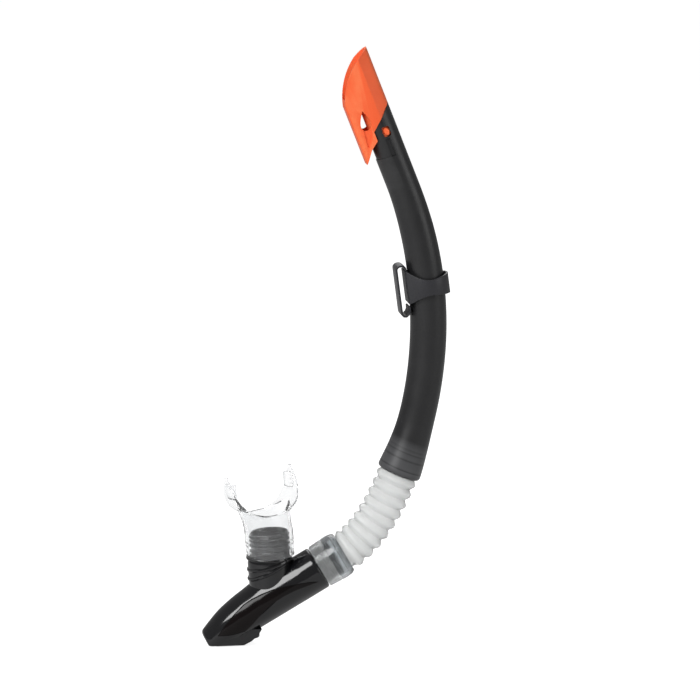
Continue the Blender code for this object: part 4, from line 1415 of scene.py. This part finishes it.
        # A slightly larger near-black leaf just behind each panel paints the shadow of the panel's step as a
        # dark outline.
        painted_shadow_outlines = [self.leaf(f"leaf_painted_shadow_{name}", side, 0.8, 0.12 * MM) for name, side in flanks]
        for piece in pieces:
            Bench.smooth(piece)
        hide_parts("chamber_body")
        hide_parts("purge_cover")
        for piece in pieces + panels + painted_shadow_outlines:
            finish = LEAF_STEP_SHADOW if piece in painted_shadow_outlines else LEAF if piece in panels else GLOSS
            finish.dress(piece)
            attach(piece, Body.CHAMBER.value)
        return pieces + panels + painted_shadow_outlines


# ---------------------------------------------------------------- mouthpiece


@dataclass
class Mouthpiece:
    """Clear silicone mouthpiece: ribbed collar, flared throat, U-shaped lip shield and bite tabs."""

    wall: float = 1.0 * MM
    half_width: float = 26.5 * MM
    wing: float = 13.0 * MM
    lean: float = -0.12
    curl: float = radians(97)
    rise: float = 31.5 * MM

    def curve(self, share: float, base: float) -> Vector:
        """Point on the shield's U.

        Args:
            share: Its place along the U, from -1 at one tip to 1 at the other.
            base: Height of the U's lowest point.

        Returns:
            The point in the mouthpiece's XZ plane.
        """
        across = self.half_width * sin(share * self.curl) / sin(self.curl)
        up = base + self.rise * abs(share) ** 2.2
        return Vector((across + self.lean * up, 0.0, up))

    def shield(self) -> bpy.types.Object:
        """Sweep a flat oval along the shield's U, tapering to a leaf at both tips.

        Returns:
            The shield.
        """
        places = [(share, self.curve(share, 13.5 * MM)) for share in even(-1.0, 1.0, 61)]
        rings = []
        for i, (share, place) in enumerate(places):
            way = places[min(i + 1, len(places) - 1)][1] - places[max(i - 1, 0)][1]
            fade = max(0.1, (1.0 - abs(share) ** 3.2)) ** 0.75
            rings.append(Station(place, atan2(way.x, way.z), self.wall, self.wing * fade))
        return Bench.sweep("mouthpiece_body", rings, 40, Ends.CAPPED)

    def mouth_room(self) -> bpy.types.Object:
        """Everything above the shield's middle line, for trimming the throat's flare.

        Returns:
            The cutter.
        """
        curve = [self.curve(share, 14.0 * MM) for share in even(-0.93, 0.93, 31)]
        points = [Vector((place.x, -0.03, place.z)) for place in curve]
        points += [Vector((0.03, -0.03, 0.06)), Vector((-0.03, -0.03, 0.06))]
        return Bench.prism("mouth_room", points, Vector((0.0, 0.06, 0.0)))

    def throat(self, name: str, rows: Sequence[tuple[float, float, float]]) -> bpy.types.Object:
        """Upright oval loft.

        Args:
            name: The new piece's name.
            rows: Height, width and depth of each ring, in millimetres.

        Returns:
            The closed loft.
        """
        rings = [Station(Vector((self.lean * max(0.0, up) * MM, 0.0, up * MM)), 0.0, wide * MM, deep * MM)
                 for up, wide, deep in rows]
        return Bench.sweep(name, rings, 72, Ends.CAPPED)

    def build(self) -> list[bpy.types.Object]:
        """Join the shield, the throat and the tabs, then open the bore.

        Returns:
            The mouthpiece.
        """
        piece = self.shield()
        outside = [(-17.5, 16.6, 16.6), (-17.1, 17.1, 17.1), (-15.6, 17.1, 17.1), (-15.2, 16.7, 16.7),
                   (-14.0, 16.7, 16.7), (-13.6, 17.1, 17.1), (-8.6, 17.2, 17.2), (-8.2, 16.8, 16.8),
                   (-7.2, 16.8, 16.8), (-6.8, 17.3, 17.3), (0.5, 17.3, 17.1), (3.5, 17.4, 16.2),
                   (7.0, 17.8, 15.0), (10.5, 18.6, 13.8), (14.0, 19.6, 12.9), (18.0, 20.8, 11.8),
                   (22.0, 21.8, 10.4)]
        hollow = [(-0.3, 15.1, 15.1), (1.5, 15.3, 14.9), (4.5, 15.5, 14.2), (8.0, 16.2, 13.0),
                  (13.0, 17.6, 11.4), (19.0, 19.0, 10.0)]
        throat = self.throat("throat", outside)
        Bench.combine(throat, self.mouth_room(), Step.CUT)
        Bench.combine(piece, throat, Step.JOIN)
        for side in (-1, 1):
            tab = Bench.box("tab", Vector((3.8, 9.0, 11.0)) * MM, Vector((side * 24.0 - 4.2, 0.0, 34.5)) * MM,
                            Matrix.Identity(4), 1.3 * MM)
            Bench.combine(piece, tab, Step.JOIN)
        Bench.combine(piece, self.throat("bore", hollow), Step.CUT)
        collar = self.throat("collar_bore", [(-30.0, 15.0, 15.0), (0.5, 15.0, 15.0)])
        Bench.combine(piece, collar, Step.CUT)
        Bench.place(piece, MOUTH_FRAME)
        Bench.smooth(SILICONE.dress(piece), 40.0)
        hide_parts("mouthpiece")
        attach(piece, Body.MOUTHPIECE.value)
        return [piece]


# ---------------------------------------------------------------- carried-over pieces and the studio


def dress_carried(nodes: dict[str, bpy.types.Object]) -> None:
    """Give the frame's own shown pieces their finishes.

    Args:
        nodes: The frame's pieces by name.
    """
    finishes = {"latch_front": ORANGE, "latch_back": ORANGE, "hose_insert": CLEAR, "retainer_ring": GLOSS,
                "swivel_seal": SEAL, "purge_seat": GLOSS, "purge_valve": SILICONE}
    for name, finish in finishes.items():
        finish.dress(nodes[name])
        LOG.info("dressed %s with %s", name, finish.name)


@dataclass
class Studio:
    """Pale floor, soft lights and the camera."""

    azimuth: float = -8.0
    elevation: float = 10.5
    distance: float = 2.2
    lens: float = 160.84
    target: Vector = Vector((-37.08, 0.0, -41.59)).freeze()
    floor_size: float = 24.0
    floor_glow: float = 0.16
    camera_glow: float = 0.72
    clear_glow: float = 0.50
    sky_strength: float = 0.24

    def camera(self) -> None:
        """Add the camera and make it the scene's own."""
        a, e = radians(self.azimuth), radians(self.elevation)
        back = Vector((sin(a) * cos(e), -cos(a) * cos(e), sin(e)))
        bpy.ops.object.camera_add(location=self.target * MM + back * self.distance)
        camera = bpy.context.object
        camera.rotation_mode = "QUATERNION"
        camera.rotation_quaternion = (-back).to_track_quat("-Z", "Y")
        camera.data.lens = self.lens
        camera.data.sensor_width = 36.0
        bpy.context.scene.camera = camera

    def lamp(self, name: str, place: Vector, size: float, power: float) -> None:
        """Add a soft square lamp that faces the object.

        Args:
            name: The lamp's name.
            place: Where it stands.
            size: Its side.
            power: Its power in watts.
        """
        bpy.ops.object.light_add(type="AREA", location=place)
        lamp = bpy.context.object
        lamp.name = name
        lamp.data.size = size
        lamp.data.energy = power
        lamp.rotation_mode = "QUATERNION"
        lamp.rotation_quaternion = (self.target * MM - place).to_track_quat("-Z", "Y")

    def floor(self, floor_z: float) -> None:
        """Add the pale floor, which glows more for the camera's rays and for rays through clear pieces.

        Args:
            floor_z: The floor's height.
        """
        Bench.clear()
        bpy.ops.mesh.primitive_grid_add(x_subdivisions=4, y_subdivisions=4, size=self.floor_size,
                                        location=(0.0, 0.0, floor_z))
        floor = bpy.context.object
        floor.name = "floor"
        FLOOR.dress(floor)
        tree = FLOOR.material().node_tree
        glow = tree.nodes["Principled BSDF"]
        rays = tree.nodes.new("ShaderNodeLightPath")
        glow.inputs["Emission Color"].default_value = (1.0, 1.0, 1.0, 1.0)
        level: bpy.types.NodeSocket | None = None
        for seen, share in (("Is Camera Ray", self.camera_glow), ("Is Transmission Ray", self.clear_glow)):
            step = tree.nodes.new("ShaderNodeMath")
            step.operation = "MULTIPLY_ADD"
            step.inputs[1].default_value = share
            step.inputs[2].default_value = self.floor_glow
            tree.links.new(rays.outputs[seen], step.inputs[0])
            if level is not None:
                tree.links.new(level, step.inputs[2])
            level = step.outputs["Value"]
        tree.links.new(level, glow.inputs["Emission Strength"])
        floor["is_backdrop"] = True

    def sky(self) -> None:
        """Add the sky, which lights softly and looks white to the camera's own rays."""
        world = bpy.data.worlds.new("studio_sky")
        world.use_nodes = True
        tree = world.node_tree
        sky = tree.nodes["Background"]
        sky.inputs["Color"].default_value = (1.0, 1.0, 1.0, 1.0)
        rays = tree.nodes.new("ShaderNodeLightPath")
        shine = tree.nodes.new("ShaderNodeMapRange")
        shine.inputs["To Min"].default_value = self.sky_strength
        tree.links.new(rays.outputs["Is Camera Ray"], shine.inputs["Value"])
        tree.links.new(shine.outputs["Result"], sky.inputs["Strength"])
        bpy.context.scene.world = world

    def build(self, floor_z: float) -> None:
        """Set up the floor, the sky, the lamps and the camera.

        Args:
            floor_z: The floor's height.
        """
        self.floor(floor_z)
        self.sky()
        bpy.context.scene.view_settings.view_transform = "Standard"
        self.lamp("key", Vector((-1.3, -1.3, 1.3)), 1.3, 46.0)
        self.lamp("fill", Vector((1.6, -1.0, 0.5)), 1.0, 6.0)
        self.lamp("back", Vector((0.3, 1.6, 1.2)), 1.5, 14.0)
        self.camera()


def main() -> None:
    """Load the frame, build every piece, dress what stays, and set up the studio."""
    logging.basicConfig(level=logging.INFO, format="%(name)s: %(message)s")
    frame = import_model()
    cad_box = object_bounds()
    Bench.clear()
    for maker in (Barrel(), Guard(), Keeper(), Hose(), Collar(), Chamber(), Mouthpiece()):
        for piece in maker.build():
            LOG.info("%s: %s, %d faces", type(maker).__name__, piece.name, len(piece.data.polygons))
    dress_carried(frame["nodes"])
    Studio().build(cad_box[0].z - 0.4 * MM)


if __name__ == "__main__":
    main()
